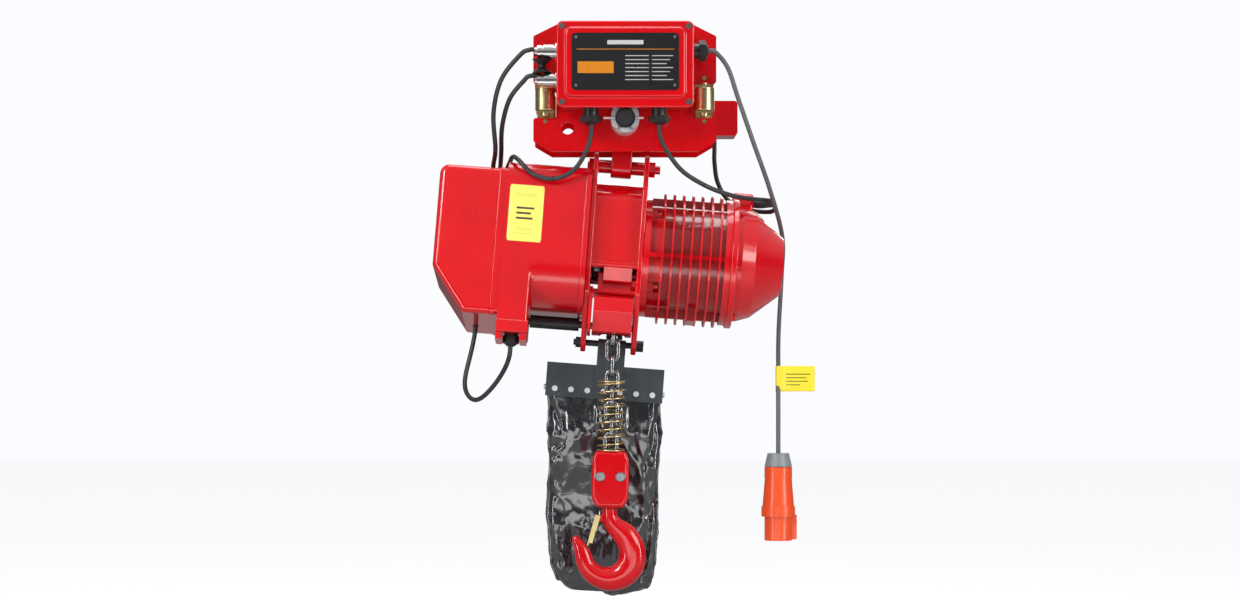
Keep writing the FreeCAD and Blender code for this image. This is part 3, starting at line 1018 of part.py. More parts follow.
# ---- latch: folded sheet with its pin, from the shank to inside the tip; built pointing up
reach_x, reach_z = -14.0, -53.5                     # from the pin to the latch's tip
length = math.hypot(reach_x, reach_z)
latch = join([
    box(-5, 5, -12.5, -9.5, -6, 24), box(-5, 5, 9.5, 12.5, -6, 24),
    box(-5, -2.4, -12.5, 12.5, 12, 24), box(-5, -2.4, -9.5, 9.5, 20, length),
    cyl_y(-13, 13, 0, 0, 2.0),
    box(-5, 4, -9.5, -7.0, 22, length - 6), box(-5, 4, 7.0, 9.5, 22, length - 6)])
latch.rotate(ORIGIN, X_DIR, 180)
latch.rotate(ORIGIN, Y_DIR, -math.degrees(math.atan2(reach_x, -reach_z)))
latch.translate(Vec(LATCH_X, 0, LATCH_Z))
save("hook_latch", latch, HANG)

# ================================================================== CHAIN BAG
# Hangs on the cross bolt. Origin on the bolt: x along it, y to the rear, z up.
BAG = Place(on_hoist(0, *CROSS_BOLT), Turn(Y_DIR, ROLL))
STRAP_X0, STRAP_X1 = -20.0, 34.0
MOUTH_X0, MOUTH_X1, MOUTH_Z0, MOUTH_Z1 = -116.0, 113.0, -108.0, -42.0

# ---- strap wrapped over the bolt, mouth frame and rivets
hoop = ring_x(STRAP_X0, STRAP_X1, 0, 0, 9.8, 6.3)
strap = join([box(STRAP_X0, STRAP_X1, 6.3, 9.8, -70, 0),
              hoop.common(box(STRAP_X0 - 1, STRAP_X1 + 1, -20, 20, 0, 20))])
strap = strap.fuse(box(STRAP_X0, STRAP_X1, -9.8, -6.3, -18, 0)).removeSplitter()
mouth = box(MOUTH_X0, MOUTH_X1, 9.9, 100, MOUTH_Z0, MOUTH_Z1)
mouth = mouth.cut(box(MOUTH_X0 + 2.5, MOUTH_X1 - 2.5, 12.4, 97.5, MOUTH_Z0 - 1, MOUTH_Z1 + 1))
strap = strap.fuse(box(STRAP_X0, STRAP_X1, 6.3, 9.8, -100, -60)).removeSplitter()
rivets = []
for i in range(7):
    x = -98.0 + i * 31.8
    rivets.append(cyl_y(100.02, 102.4, x, -93.0, 5.5))
    front = 6.28 if STRAP_X0 - 5 < x < STRAP_X1 + 5 else 9.88
    rivets.append(cyl_y(front - 2.4, front, x, -93.0, 5.5))
for x, head_x in ((MOUTH_X0, MOUTH_X0 - 4), (MOUTH_X1, MOUTH_X1 + 4)):
    rivets += [cyl_x(x, head_x, y, -91.0, 5.5) for y in (36, 74)]
save("bag_frame", group([join([strap, mouth])] + rivets), BAG)

# ---- flexible bag: open-topped sack whose rim sits inside the frame
# fraction of the depth, half width, front y, rear y, centre x
SACK = [(0.0, 110.5, 14.5, 95.5, -1.5), (0.12, 109, 18, 96.5, 0), (0.35, 112.5, 34, 112, 6.5),
        (0.62, 113, 49, 124, 13.5), (0.84, 110, 50, 126, 18.5), (0.95, 98, 58, 118, 20.5),
        (1.0, 82, 68, 106, 21.5)]


def sack(inset, top, bottom):
    wires = []
    for depth, half, front, rear, x in SACK:
        z = top + (bottom - top) * depth
        half -= inset
        outline = rect(x - half, x + half, front + inset, rear - inset)
        face = rounded_face(outline, 17 - inset, lambda p: Vec(p.x, p.y, z))
        wires.append(face.OuterWire)
    return Part.makeLoft(wires, True, True)


save("chain_bag", sack(0.0, -70.0, -482.0).cut(sack(2.5, -69.0, -477.0)), BAG)
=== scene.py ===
import bpy, bmesh, math
import numpy as np
from mathutils import Vector, Matrix, noise


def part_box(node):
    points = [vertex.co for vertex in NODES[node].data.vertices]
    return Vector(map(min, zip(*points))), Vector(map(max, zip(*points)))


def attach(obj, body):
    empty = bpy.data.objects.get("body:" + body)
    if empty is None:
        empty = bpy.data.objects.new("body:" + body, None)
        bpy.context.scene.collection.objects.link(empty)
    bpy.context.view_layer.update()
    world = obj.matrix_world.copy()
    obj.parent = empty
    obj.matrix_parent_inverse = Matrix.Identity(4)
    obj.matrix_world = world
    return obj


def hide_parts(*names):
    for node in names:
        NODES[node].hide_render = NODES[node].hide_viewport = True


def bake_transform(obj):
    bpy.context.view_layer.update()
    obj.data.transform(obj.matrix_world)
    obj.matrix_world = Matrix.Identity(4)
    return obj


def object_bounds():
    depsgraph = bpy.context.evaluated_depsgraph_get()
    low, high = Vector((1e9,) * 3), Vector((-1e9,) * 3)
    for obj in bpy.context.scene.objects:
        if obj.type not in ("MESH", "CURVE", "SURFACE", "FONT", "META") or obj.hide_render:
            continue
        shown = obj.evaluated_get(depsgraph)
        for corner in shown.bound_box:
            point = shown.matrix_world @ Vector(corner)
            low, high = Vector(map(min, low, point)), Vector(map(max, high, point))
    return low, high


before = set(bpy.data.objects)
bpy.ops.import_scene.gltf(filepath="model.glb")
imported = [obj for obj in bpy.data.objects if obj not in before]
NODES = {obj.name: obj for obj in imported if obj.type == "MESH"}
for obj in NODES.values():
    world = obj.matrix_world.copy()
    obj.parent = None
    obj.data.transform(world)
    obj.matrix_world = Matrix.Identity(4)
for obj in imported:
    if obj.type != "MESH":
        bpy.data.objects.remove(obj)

cad_lo, cad_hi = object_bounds()
scene = bpy.context.scene

# ------------------------------------------------------------------ where things stand (metres, row frame)
FLANGE = 0.050
ROLL, PITCH, LEAN, PIN_Z = 4.2, -8.5, 1.0, -0.084
ROW = Matrix.Translation((0, 0, -FLANGE))
YOKE = ROW @ Matrix.Rotation(math.radians(ROLL), 4, "Y")
HOIST = YOKE @ Matrix.Translation((0, 0, PIN_Z)) @ Matrix.Rotation(math.radians(PITCH), 4, "X") @ Matrix.Translation((0, 0, -PIN_Z))


def hoist(x, y, z):
    """A point given in the hoist's own frame, in mm."""
    return HOIST @ Vector((x / 1000, y / 1000, z / 1000))


# ------------------------------------------------------------------ material kit
class Nt:
    def __init__(self, name):
        self.m = bpy.data.materials.new(name)
        self.m.use_nodes = True
        self.t = self.m.node_tree
        self.t.nodes.clear()
        self.out = self.t.nodes.new("ShaderNodeOutputMaterial")
        self.b = self.t.nodes.new("ShaderNodeBsdfPrincipled")
        self.t.links.new(self.b.outputs[0], self.out.inputs[0])
        self.co = self.t.nodes.new("ShaderNodeTexCoord").outputs["Object"]

    def link(self, a, b):
        self.t.links.new(a, b)

    def setv(self, **k):
        for n, v in k.items():
            self.b.inputs[n.replace("_", " ")].default_value = v

    def noise(self, scale, detail=3.0, rough=0.5, vec=None, dist=0.0):
        n = self.t.nodes.new("ShaderNodeTexNoise")
        n.inputs["Scale"].default_value = scale
        n.inputs["Detail"].default_value = detail
        n.inputs["Roughness"].default_value = rough
        n.inputs["Distortion"].default_value = dist
        self.link(vec or self.co, n.inputs["Vector"])
        return n.outputs["Fac"]

    def voronoi(self, scale, vec=None, feature="F1"):
        n = self.t.nodes.new("ShaderNodeTexVoronoi")
        n.feature = feature
        n.inputs["Scale"].default_value = scale
        self.link(vec or self.co, n.inputs["Vector"])
        return n.outputs["Distance"]

    def stretch(self, sx, sy, sz):
        n = self.t.nodes.new("ShaderNodeMapping")
        n.inputs["Scale"].default_value = (sx, sy, sz)
        self.link(self.co, n.inputs["Vector"])
        return n.outputs[0]

    def ramp(self, fac, stops):
        n = self.t.nodes.new("ShaderNodeValToRGB")
        e = n.color_ramp.elements
        while len(e) > 1:
            e.remove(e[-1])
        e[0].position, e[0].color = stops[0][0], stops[0][1]
        for p, c in stops[1:]:
            x = e.new(p)
            x.color = c
        self.link(fac, n.inputs[0])
        return n.outputs[0]

    def mix(self, fac, a, b):
        n = self.t.nodes.new("ShaderNodeMix")
        n.data_type = "RGBA"
        for s, v in ((0, fac), (6, a), (7, b)):
            if isinstance(v, (int, float)) and s == 0:
                n.inputs[s].default_value = v
            elif isinstance(v, (tuple, list)):
                n.inputs[s].default_value = v
            else:
                self.link(v, n.inputs[s])
        return n.outputs[2]

    def math(self, op, a, b=0.0, clamp=False):
        n = self.t.nodes.new("ShaderNodeMath")
        n.operation = op
        n.use_clamp = clamp
        for i, v in enumerate((a, b)):
            if isinstance(v, (int, float)):
                n.inputs[i].default_value = v
            else:
                self.link(v, n.inputs[i])
        return n.outputs[0]

    def bump(self, h, strength, dist, normal=None):
        n = self.t.nodes.new("ShaderNodeBump")
        n.inputs["Strength"].default_value = strength
        n.inputs["Distance"].default_value = dist
        self.link(h, n.inputs["Height"])
        if normal:
            self.link(normal, n.inputs["Normal"])
        return n.outputs[0]

    def edge(self, lo=0.52, hi=0.6):
        g = self.t.nodes.new("ShaderNodeNewGeometry")
        return self.ramp(g.outputs["Pointiness"], [(lo, (0, 0, 0, 1)), (hi, (1, 1, 1, 1))])


def c(r, g, b):
    return (r, g, b, 1.0)


def paint(name, base, dark, rough, peel, peel_scale, sand=0.0, coat=0.6, wear=0.10):
    k = Nt(name)
    big = k.noise(9.0, 3)
    col = k.mix(k.ramp(big, [(0.35, c(0, 0, 0)), (0.7, c(1, 1, 1))]), base, dark)
    chip = k.math("MULTIPLY", k.edge(), k.ramp(k.noise(160.0, 4, 0.65), [(0.56, c(0, 0, 0)), (0.66, c(1, 1, 1))]))
    col = k.mix(k.math("MULTIPLY", chip, wear), col, c(0.30, 0.26, 0.24))
    k.link(col, k.b.inputs["Base Color"])
    r = k.math("ADD", k.math("MULTIPLY", k.noise(38.0, 5, 0.6), 0.14), rough - 0.05)
    k.link(k.math("ADD", r, k.math("MULTIPLY", chip, 0.25 * min(1.0, wear * 2)), True), k.b.inputs["Roughness"])
    n = k.bump(k.noise(peel_scale, 2, 0.45), peel, 0.0006)
    if sand:
        n = k.bump(k.noise(900.0, 3, 0.6), sand, 0.0004, n)
    k.link(n, k.b.inputs["Normal"])
    k.setv(Coat_Weight=coat, Coat_Roughness=0.08, Specular_IOR_Level=0.5)
    return k.m


def metal(name, base, var, rough, streak=(1, 1, 1), scale=60.0, bump=0.08, metallic=1.0, grime=0.0):
    k = Nt(name)
    v = k.stretch(*streak)
    n1 = k.noise(scale, 5, 0.6, v)
    col = k.mix(n1, base, var)
    if grime:
        g = k.ramp(k.noise(24.0, 4, 0.6), [(0.5, c(0, 0, 0)), (0.75, c(1, 1, 1))])
        col = k.mix(k.math("MULTIPLY", g, grime), col, c(0.03, 0.022, 0.015))
    k.link(col, k.b.inputs["Base Color"])
    k.link(k.math("ADD", k.math("MULTIPLY", n1, 0.22), rough - 0.11), k.b.inputs["Roughness"])
    k.link(k.bump(n1, bump, 0.0005), k.b.inputs["Normal"])
    k.setv(Metallic=metallic)
    return k.m


def plastic(name, base, rough, grain=700.0, bump=0.12, coat=0.0, var=0.25, sheen=0.0):
    k = Nt(name)
    d = tuple(x * (1 - var) for x in base[:3]) + (1,)
    k.link(k.mix(k.noise(30.0, 4), base, d), k.b.inputs["Base Color"])
    k.link(k.math("ADD", k.math("MULTIPLY", k.noise(80.0, 4), 0.16), rough - 0.08), k.b.inputs["Roughness"])
    k.link(k.bump(k.noise(grain, 2, 0.5), bump, 0.0003), k.b.inputs["Normal"])
    k.setv(Coat_Weight=coat, Coat_Roughness=0.12, Sheen_Weight=sheen)
    return k.m


RED = paint("red_enamel", c(0.66, 0.000, 0.004), c(0.58, 0.000, 0.004), 0.15, 0.03, 110.0, coat=0.5, wear=0.03)
RED_CAST = paint("red_cast_enamel", c(0.66, 0.000, 0.006), c(0.56, 0.000, 0.005), 0.19, 0.06, 80.0, sand=0.03, coat=0.5, wear=0.03)
RED_DEEP = paint("red_hook_enamel", c(0.62, 0.000, 0.004), c(0.54, 0.000, 0.004), 0.11, 0.03, 70.0, coat=0.15, wear=0.04)
ZINC = metal("yellow_zinc", c(0.80, 0.62, 0.26), c(0.62, 0.56, 0.36), 0.30, scale=45, bump=0.05, grime=0.15)
LATCH = metal("latch_zinc", c(0.74, 0.60, 0.26), c(0.60, 0.50, 0.24), 0.38, scale=70, bump=0.08, metallic=0.75)
SPRING = metal("spring_wire", c(0.78, 0.60, 0.30), c(0.52, 0.40, 0.20), 0.26, scale=120, bump=0.05)
STEEL = metal("machined_steel", c(0.52, 0.53, 0.54), c(0.36, 0.37, 0.38), 0.34, (1, 18, 1), 50, 0.10, grime=0.25)
WASHER = metal("washer_steel", c(0.74, 0.75, 0.76), c(0.60, 0.61, 0.62), 0.34, (1, 14, 1), 60, 0.08, metallic=0.55)
DARK = metal("black_oxide", c(0.055, 0.056, 0.060), c(0.028, 0.028, 0.030), 0.42, scale=70, bump=0.12, metallic=0.7)
CHAIN = metal("chain_steel", c(0.36, 0.36, 0.37), c(0.18, 0.18, 0.185), 0.24, scale=140, bump=0.10, grime=0.3)
NICKEL = metal("satin_nickel", c(0.74, 0.73, 0.70), c(0.60, 0.59, 0.57), 0.20, (14, 1, 1), 60, 0.05)
FRAME = paint("grey_frame_paint", c(0.050, 0.060, 0.068), c(0.038, 0.046, 0.052), 0.30, 0.05, 140.0, coat=0.3, wear=0.08)
RIVET = metal("rivet_zinc", c(0.86, 0.87, 0.88), c(0.70, 0.71, 0.72), 0.30, scale=90, bump=0.06, metallic=0.35)
COPPER = metal("winding_copper", c(0.62, 0.26, 0.12), c(0.40, 0.15, 0.06), 0.34, (30, 1, 1), 50, 0.3, metallic=0.8)
LINING = plastic("brake_lining", c(0.10, 0.085, 0.07), 0.85, 500, 0.5)
BLACK = plastic("black_nylon", c(0.018, 0.018, 0.019), 0.38, 800, 0.10, coat=0.1)
RUBBER = plastic("cable_jacket", c(0.026, 0.027, 0.029), 0.44, 1200, 0.18)
SUPPLY = plastic("supply_jacket", c(0.115, 0.12, 0.13), 0.44, 1200, 0.15)
ORANGE = plastic("plug_shell", c(0.88, 0.085, 0.012), 0.32, 600, 0.06, coat=0.25, var=0.12)
GREY = plastic("plug_nut", c(0.24, 0.26, 0.275), 0.42, 600, 0.08)
YELLOW = plastic("yellow_film", c(0.92, 0.76, 0.04), 0.34, 400, 0.03, coat=0.4, var=0.08)


def outer_seal(p):
    """The rim of the seal that shows between the case and the electric box."""
    q = HOIST.inverted() @ p
    return q.y < -0.0850 or q.y > 0.1642 or q.z > -0.1215 or q.z < -0.4035


def facemats(node, rules, base):
    """Gives the CAD node's faces materials by where they lie: each rule is (test on the face's centre, material)."""
    o = NODES[node]
    me = o.data
    me.materials.clear()
    me.materials.append(base)
    for _, m in rules:
        me.materials.append(m)
    for p in me.polygons:
        p.material_index = 0
        for i, (test, _) in enumerate(rules):
            if test(p.center):
                p.material_index = i + 1
                break


def give(m, *names):
    for n in names:
        facemats(n, [], m)


give(RED, "front_side_plate", "rear_side_plate", "trolley_control_box", "trolley_control_lid", "left_frame_plate", "right_frame_plate",
     "sheave_housing", "electric_box_cover", "suspension_pin")
give(RED_CAST, "gear_case", "gear_case_cover", "motor_housing", "motor_end_cover", "chain_guide", "limit_lever", "suspension_yoke",
     "travel_gearbox_housing", "travel_motor_housing")
give(RED_DEEP, "hook")
give(ZINC, "guide_roller_brackets", "guide_roller_front_left", "guide_roller_front_right", "guide_roller_rear_left", "guide_roller_rear_right")
give(LATCH, "hook_latch")
give(SPRING, "buffer_spring")
give(STEEL, "wheel_axles", "wheel_front_left", "wheel_front_right", "wheel_rear_left", "wheel_rear_right", "travel_output_shaft",
     "travel_intermediate_gear", "travel_rotor", "motor_rotor", "countershaft_gear", "load_gear", "load_sheave", "main_bearings", "brake_armature")
give(DARK, "load_shaft", "cross_bolt")
give(NICKEL, "lid_screws")
give(CHAIN, "load_chain", "slack_chain", "hook_chain")
give(COPPER, "motor_stator", "brake_coil")
give(LINING, "brake_disc")
facemats("electric_panel", [(lambda p: outer_seal(p), RED)], BLACK)
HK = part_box("hook_block")
facemats("hook_block", [(lambda p: p.y < HK[0].y + 0.0095 and abs(p.z - (HK[0].z + HK[1].z) / 2 - 0.005) < 0.012 and 0.010 < abs(p.x - (HK[0].x + HK[1].x) / 2) < 0.030, STEEL)], RED_DEEP)
give(WASHER, "load_shaft_nuts")
facemats("cable_entries", [(lambda p: p.x < -0.128 and not (0.0366 < p.z < 0.0624 and abs(p.x + 0.158) < 0.0196), NICKEL)], BLACK)
BAG = Matrix.Translation(hoist(0, 39.6, -427)) @ Matrix.Rotation(math.radians(ROLL), 4, "Y")
BAG_INV, HOIST_INV = BAG.inverted(), HOIST.inverted()


def rivet(p):
    q = BAG_INV @ p
    if q.x < -0.11605 or q.x > 0.11305 or q.y > 0.10005:
        return q.z < -0.080
    return abs(q.z + 0.093) < 0.0057 and q.y < (0.00629 if -0.0195 < q.x < 0.0335 else 0.00989)


def lever_shaft(p):
    q = HOIST_INV @ p
    return q.x < -0.046 and math.hypot(q.y - 0.0396, q.z + 0.393) < 0.0135


def gland_end(p):
    return min((p - hoist(*g)).length for g in LOOP_ENDS) < 0.040


facemats("bag_frame", [(rivet, RIVET)], FRAME)
facemats("limit_lever", [(lever_shaft, DARK)], RED_CAST)
LOOP_ENDS = [(-186.5, -52.4, -448)]
facemats("loop_cable", [(gland_end, BLACK)], RUBBER)
facemats("supply_cable", [(lambda p: p.x > 0.308 and p.z < -0.4 and p.y > 0.0425, YELLOW)], SUPPLY)
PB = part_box("supply_plug")
facemats("supply_plug", [(lambda p: p.z > PB[1].z - 0.027, GREY)], ORANGE)


# ------------------------------------------------------------------ mesh helpers
def new_object(name, verts, faces, mat, smooth=True):
    me = bpy.data.meshes.new(name)
    me.from_pydata([tuple(v) for v in verts], [], faces)
    me.validate()
    me.update()
    for p in me.polygons:
        p.use_smooth = smooth
    me.materials.append(mat)
    o = bpy.data.objects.new(name, me)
    scene.collection.objects.link(o)
    return o


def catmull(points, step=0.003):
    """Points along a smooth curve through the given ones, about step apart."""
    p = [Vector(q) for q in points]
    p = [p[0] * 2 - p[1]] + p + [p[-1] * 2 - p[-2]]
    out = []
    for i in range(1, len(p) - 2):
        a, b, c_, d = p[i - 1], p[i], p[i + 1], p[i + 2]
        n = max(2, int((c_ - b).length / step))
        for j in range(n):
            t = j / n
            out.append(0.5 * ((2 * b) + (c_ - a) * t + (2 * a - 5 * b + 4 * c_ - d) * t * t + (3 * b - a - 3 * c_ + d) * t ** 3))
    out.append(p[-2])
    return out


def tube(name, path, radius, mat, sides=20):
    """A closed round cable along path."""
    verts, faces = [], []
    n = len(path)
    tan = [(path[min(i + 1, n - 1)] - path[max(i - 1, 0)]).normalized() for i in range(n)]
    u = tan[0].orthogonal().normalized()
    for i in range(n):
        u = (u - tan[i] * u.dot(tan[i])).normalized()
        v = tan[i].cross(u)
        for k_ in range(sides):
            a_ = 2 * math.pi * k_ / sides
            verts.append(path[i] + (u * math.cos(a_) + v * math.sin(a_)) * radius)
    for i in range(n - 1):
        for k_ in range(sides):
            a_, b_ = i * sides + k_, i * sides + (k_ + 1) % sides
            faces.append((a_, b_, b_ + sides, a_ + sides))
    faces.append(tuple(reversed(range(sides))))
    faces.append(tuple(range((n - 1) * sides, n * sides)))
    return new_object(name, verts, faces, mat)


def row(x, y, z):
    """A point in mm with its height from the load shaft's axis."""
    return Vector((x / 1000, y / 1000, z / 1000 - FLANGE))


# ------------------------------------------------------------------ cables from the trolley to the hoist, each in two lengths
CABLES = [
    ("cable_upper", [row(-160, -122, 132), row(-182, -122, 130.5), row(-200, -118, 121), row(-236, -106, 76), row(-252, -78, 16),
                     row(-250, -40, -50), hoist(-250, 20, -92), hoist(-250, 20, -124)], 5),
    ("cable_lower", [row(-160, -122, 82), row(-182, -122, 80.5), row(-192, -118, 73), row(-220, -100, 40), row(-236, -60, -8),
                     row(-240, -8, -55), hoist(-238, 60, -92), hoist(-238, 60, -124)], 5),
    ("cable_gearcase", [row(-65, -122, 2), row(-65, -122, -30), row(-74, -121, -62), row(-98, -118, -98), row(-136, -112, -114),
                        row(-176, -104, -104), row(-206, -92, -74), hoist(-212, -30, -86), hoist(-218, 20, -84), hoist(-226, 44, -98), hoist(-236, 50, -124)], 4),
    ("cable_motor", [row(65, -122, 2), row(65, -122, -24), row(74, -120, -52), row(106, -112, -96), row(150, -98, -124), row(196, -70, -140),
                     row(238, -36, -146), hoist(302, 27.6, -122), hoist(279, 31.6, -128), hoist(258, 31.6, -128)], 4),
    ("cable_travel", [row(184, 190, -10), row(184, 190, -34), row(184, 188, -58), row(190, 172, -100), row(212, 140, -140), row(252, 100, -160),
                      row(290, 50, -166), hoist(306, 55.6, -124), hoist(279, 53.6, -128), hoist(258, 53.6, -128)], 4),
]
for name, pts, cut_at in CABLES:
    whole = catmull(pts)
    target = pts[cut_at]
    k_ = min(range(len(whole)), key=lambda i: (whole[i] - target).length)
    top = tube(name + "_trolley_length", whole[:k_ + 1], 0.0045, RUBBER)
    low = tube(name + "_hoist_length", whole[k_:], 0.0045, RUBBER)
    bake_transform(top)
    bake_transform(low)
    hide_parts("hoist_cables")

# ------------------------------------------------------------------ supply cable and its folded tag
SUP = [row(146, -122, 128), row(158.4, -122, 128), row(172, -122, 126), row(196, -118, 96), row(216, -106, 40), row(246, -80, -40), row(282, -30, -130),
       row(312, 60, -215), row(318, 165, -290), row(309, 120, -400), row(304, 60, -480), row(302, 30, -560), row(302, 30, -650)]
sup = tube("supply_cable_run", catmull(SUP), 0.0044, SUPPLY)
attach(sup, "trolley")
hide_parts("supply_cable")


def printed(name, base, base2, bars, to_local, rough=0.34, coat=0.4, scratch=0.0, metallic=0.0):
    """A printed surface: plain rules of colour laid out in the plate's own x and z, in metres. Each bar is (x0, x1, z0, z1, colour)."""
    k = Nt(name)
    vec = k.co
    if to_local is not None:
        base_pt, rot = to_local
        mp = k.t.nodes.new("ShaderNodeVectorMath")
        mp.operation = "SUBTRACT"
        mp.inputs[1].default_value = base_pt
        k.link(vec, mp.inputs[0])
        vr = k.t.nodes.new("ShaderNodeVectorRotate")
        vr.rotation_type = "EULER_XYZ"
        vr.invert = True
        vr.inputs["Rotation"].default_value = rot
        k.link(mp.outputs[0], vr.inputs["Vector"])
        vec = vr.outputs[0]
    sep = k.t.nodes.new("ShaderNodeSeparateXYZ")
    k.link(vec, sep.inputs[0])
    col = k.mix(k.noise(26, 4), base, base2)
    for (x0, x1, z0, z1, colour) in bars:
        m_ = k.math("MULTIPLY", k.math("GREATER_THAN", sep.outputs[0], x0), k.math("LESS_THAN", sep.outputs[0], x1))
        m_ = k.math("MULTIPLY", m_, k.math("MULTIPLY", k.math("GREATER_THAN", sep.outputs[2], z0), k.math("LESS_THAN", sep.outputs[2], z1)))
        col = k.mix(m_, col, colour)
    rough_in = k.math("ADD", k.math("MULTIPLY", k.noise(60, 4), 0.15), rough - 0.07)
    if scratch:
        v1 = k.stretch(6, 6, 90)
        v2 = k.stretch(70, 6, 9)
        sc_ = k.math("MAXIMUM", k.ramp(k.noise(9, 6, 0.7, v1), [(0.66, c(0, 0, 0)), (0.70, c(1, 1, 1))]),
                     k.ramp(k.noise(7, 6, 0.7, v2), [(0.67, c(0, 0, 0)), (0.71, c(1, 1, 1))]))
        col = k.mix(k.math("MULTIPLY", sc_, scratch), col, c(0.35, 0.35, 0.36))
        k.link(k.bump(sc_, 0.3, 0.0002), k.b.inputs["Normal"])
    else:
        k.link(k.bump(k.noise(60, 3), 0.15, 0.0006), k.b.inputs["Normal"])
    k.link(col, k.b.inputs["Base Color"])
    k.link(rough_in, k.b.inputs["Roughness"])
    k.setv(Coat_Weight=coat, Metallic=metallic)
    return k.m


def tag_mesh():
    """Film folded over the cable: two leaves that part a little towards the free edge."""
    verts, faces = [], []
    nx, nz = 26, 14
    for leaf in (-1, 1):
        for i in range(nx + 1):
            u = i / nx
            x = 0.2975 + u * 0.0775
            for j in range(nz + 1):
                v = j / nz
                z = -0.520 - FLANGE + v * 0.050
                t = min(1.0, u * 6)
                sweep = 0.0052 * math.sqrt(max(0.0, 1 - (1 - t) ** 2)) * (1 - 0.85 * min(1, max(0, (u - 0.14) / 0.25)))
                wave = 0.0012 * math.sin(u * 5 + v * 2.2)
                verts.append(Vector((x, 0.0455 + leaf * (sweep + 0.0003) + wave * u, z)))
    per = (nx + 1) * (nz + 1)
    for l_ in (0, 1):
        for i in range(nx):
            for j in range(nz):
                a_ = l_ * per + i * (nz + 1) + j
                q = (a_, a_ + 1, a_ + nz + 2, a_ + nz + 1)
                faces.append(q if l_ == 0 else tuple(reversed(q)))
    for j in range(nz):
        a_, b_ = j, per + j
        faces.append((a_, b_, b_ + 1, a_ + 1))
    return verts, faces


INK = c(0.06, 0.05, 0.03)
TAGMAT = printed("tag_film", c(0.92, 0.76, 0.04), c(0.86, 0.68, 0.03),
                 [(0.318, 0.366, -0.5370, -0.5352, INK), (0.318, 0.358, -0.5440, -0.5424, INK), (0.318, 0.362, -0.5510, -0.5494, INK), (0.318, 0.346, -0.5580, -0.5564, INK)], None)
tv, tf = tag_mesh()
tag = new_object("cable_tag", tv, tf, TAGMAT)
sol = tag.modifiers.new("film", "SOLIDIFY")
sol.thickness = 0.0004
sol.offset = 0
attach(tag, "trolley")

# ------------------------------------------------------------------ nameplate print and the yellow label on the gear case
WHITE, AMBER = c(0.70, 0.70, 0.68), c(0.80, 0.27, 0.02)
rules = [(-0.092, 0.092, 0.0745, 0.0757, AMBER), (-0.090, -0.022, 0.030, 0.052, AMBER), (-0.034, 0.034, 0.084, 0.092, WHITE)]
for i in range(7):
    rules.append((0.000, 0.044, 0.062 - i * 0.0075, 0.0635 - i * 0.0075, WHITE))
    rules.append((0.050, 0.090 - 0.006 * (i % 3), 0.062 - i * 0.0075, 0.0635 - i * 0.0075, WHITE))
facemats("nameplate", [(lambda p: p.y < -0.1758, STEEL)], printed("nameplate_print", c(0.012, 0.012, 0.014), c(0.022, 0.023, 0.026), rules, None, 0.30, 0.2, 0.35, 0.3))


def label_mesh():
    """Film on the front of the gear case, in the hoist's frame (mm), with rounded corners."""
    x0, x1, z0, z1, y = -209.0, -143.0, -262.0, -152.0, 39.6 - 128.0 - 0.35
    verts, faces = [], []
    nx, nz, r = 14, 22, 2.0
    for j in range(nz + 1):
        z = z0 + (z1 - z0) * j / nz
        e = min(z - z0, z1 - z)
        inset = r - math.sqrt(max(0, r * r - (r - min(r, e)) ** 2))
        for i in range(nx + 1):
            x = (x0 + inset) + (x1 - x0 - 2 * inset) * i / nx
            verts.append(hoist(x, y, z))
    for j in range(nz):
        for i in range(nx):
            a_ = j * (nx + 1) + i
            faces.append((a_, a_ + 1, a_ + nx + 2, a_ + nx + 1))
    return verts, faces


LABEL_ROT = HOIST.to_euler("XYZ")
LP = hoist(-176, -88, -207)
FAINT = c(0.62, 0.52, 0.10)
lab = [(-0.024, 0.020, 0.0365, 0.0378, FAINT), (-0.018, 0.014, 0.0325, 0.0338, FAINT), (-0.018, 0.016, 0.008, 0.012, INK), (-0.018, 0.010, -0.002, 0.002, INK), (-0.018, 0.014, -0.012, -0.008, INK),
       (-0.016, 0.012, -0.032, -0.0305, FAINT), (-0.020, 0.018, -0.040, -0.0388, FAINT)]
lv, lf = label_mesh()
label = new_object("gear_case_label", lv, lf, printed("label_film", c(0.95, 0.86, 0.17), c(0.92, 0.82, 0.13), lab, (LP, LABEL_ROT)))
sol = label.modifiers.new("film", "SOLIDIFY")
sol.thickness = 0.0003
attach(label, "hoist")

# ------------------------------------------------------------------ chain bag: a coated fabric sack, crumpled by cloth simulation
BAG = Matrix.Translation(hoist(0, 39.6, -427)) @ Matrix.Rotation(math.radians(ROLL), 4, "Y")


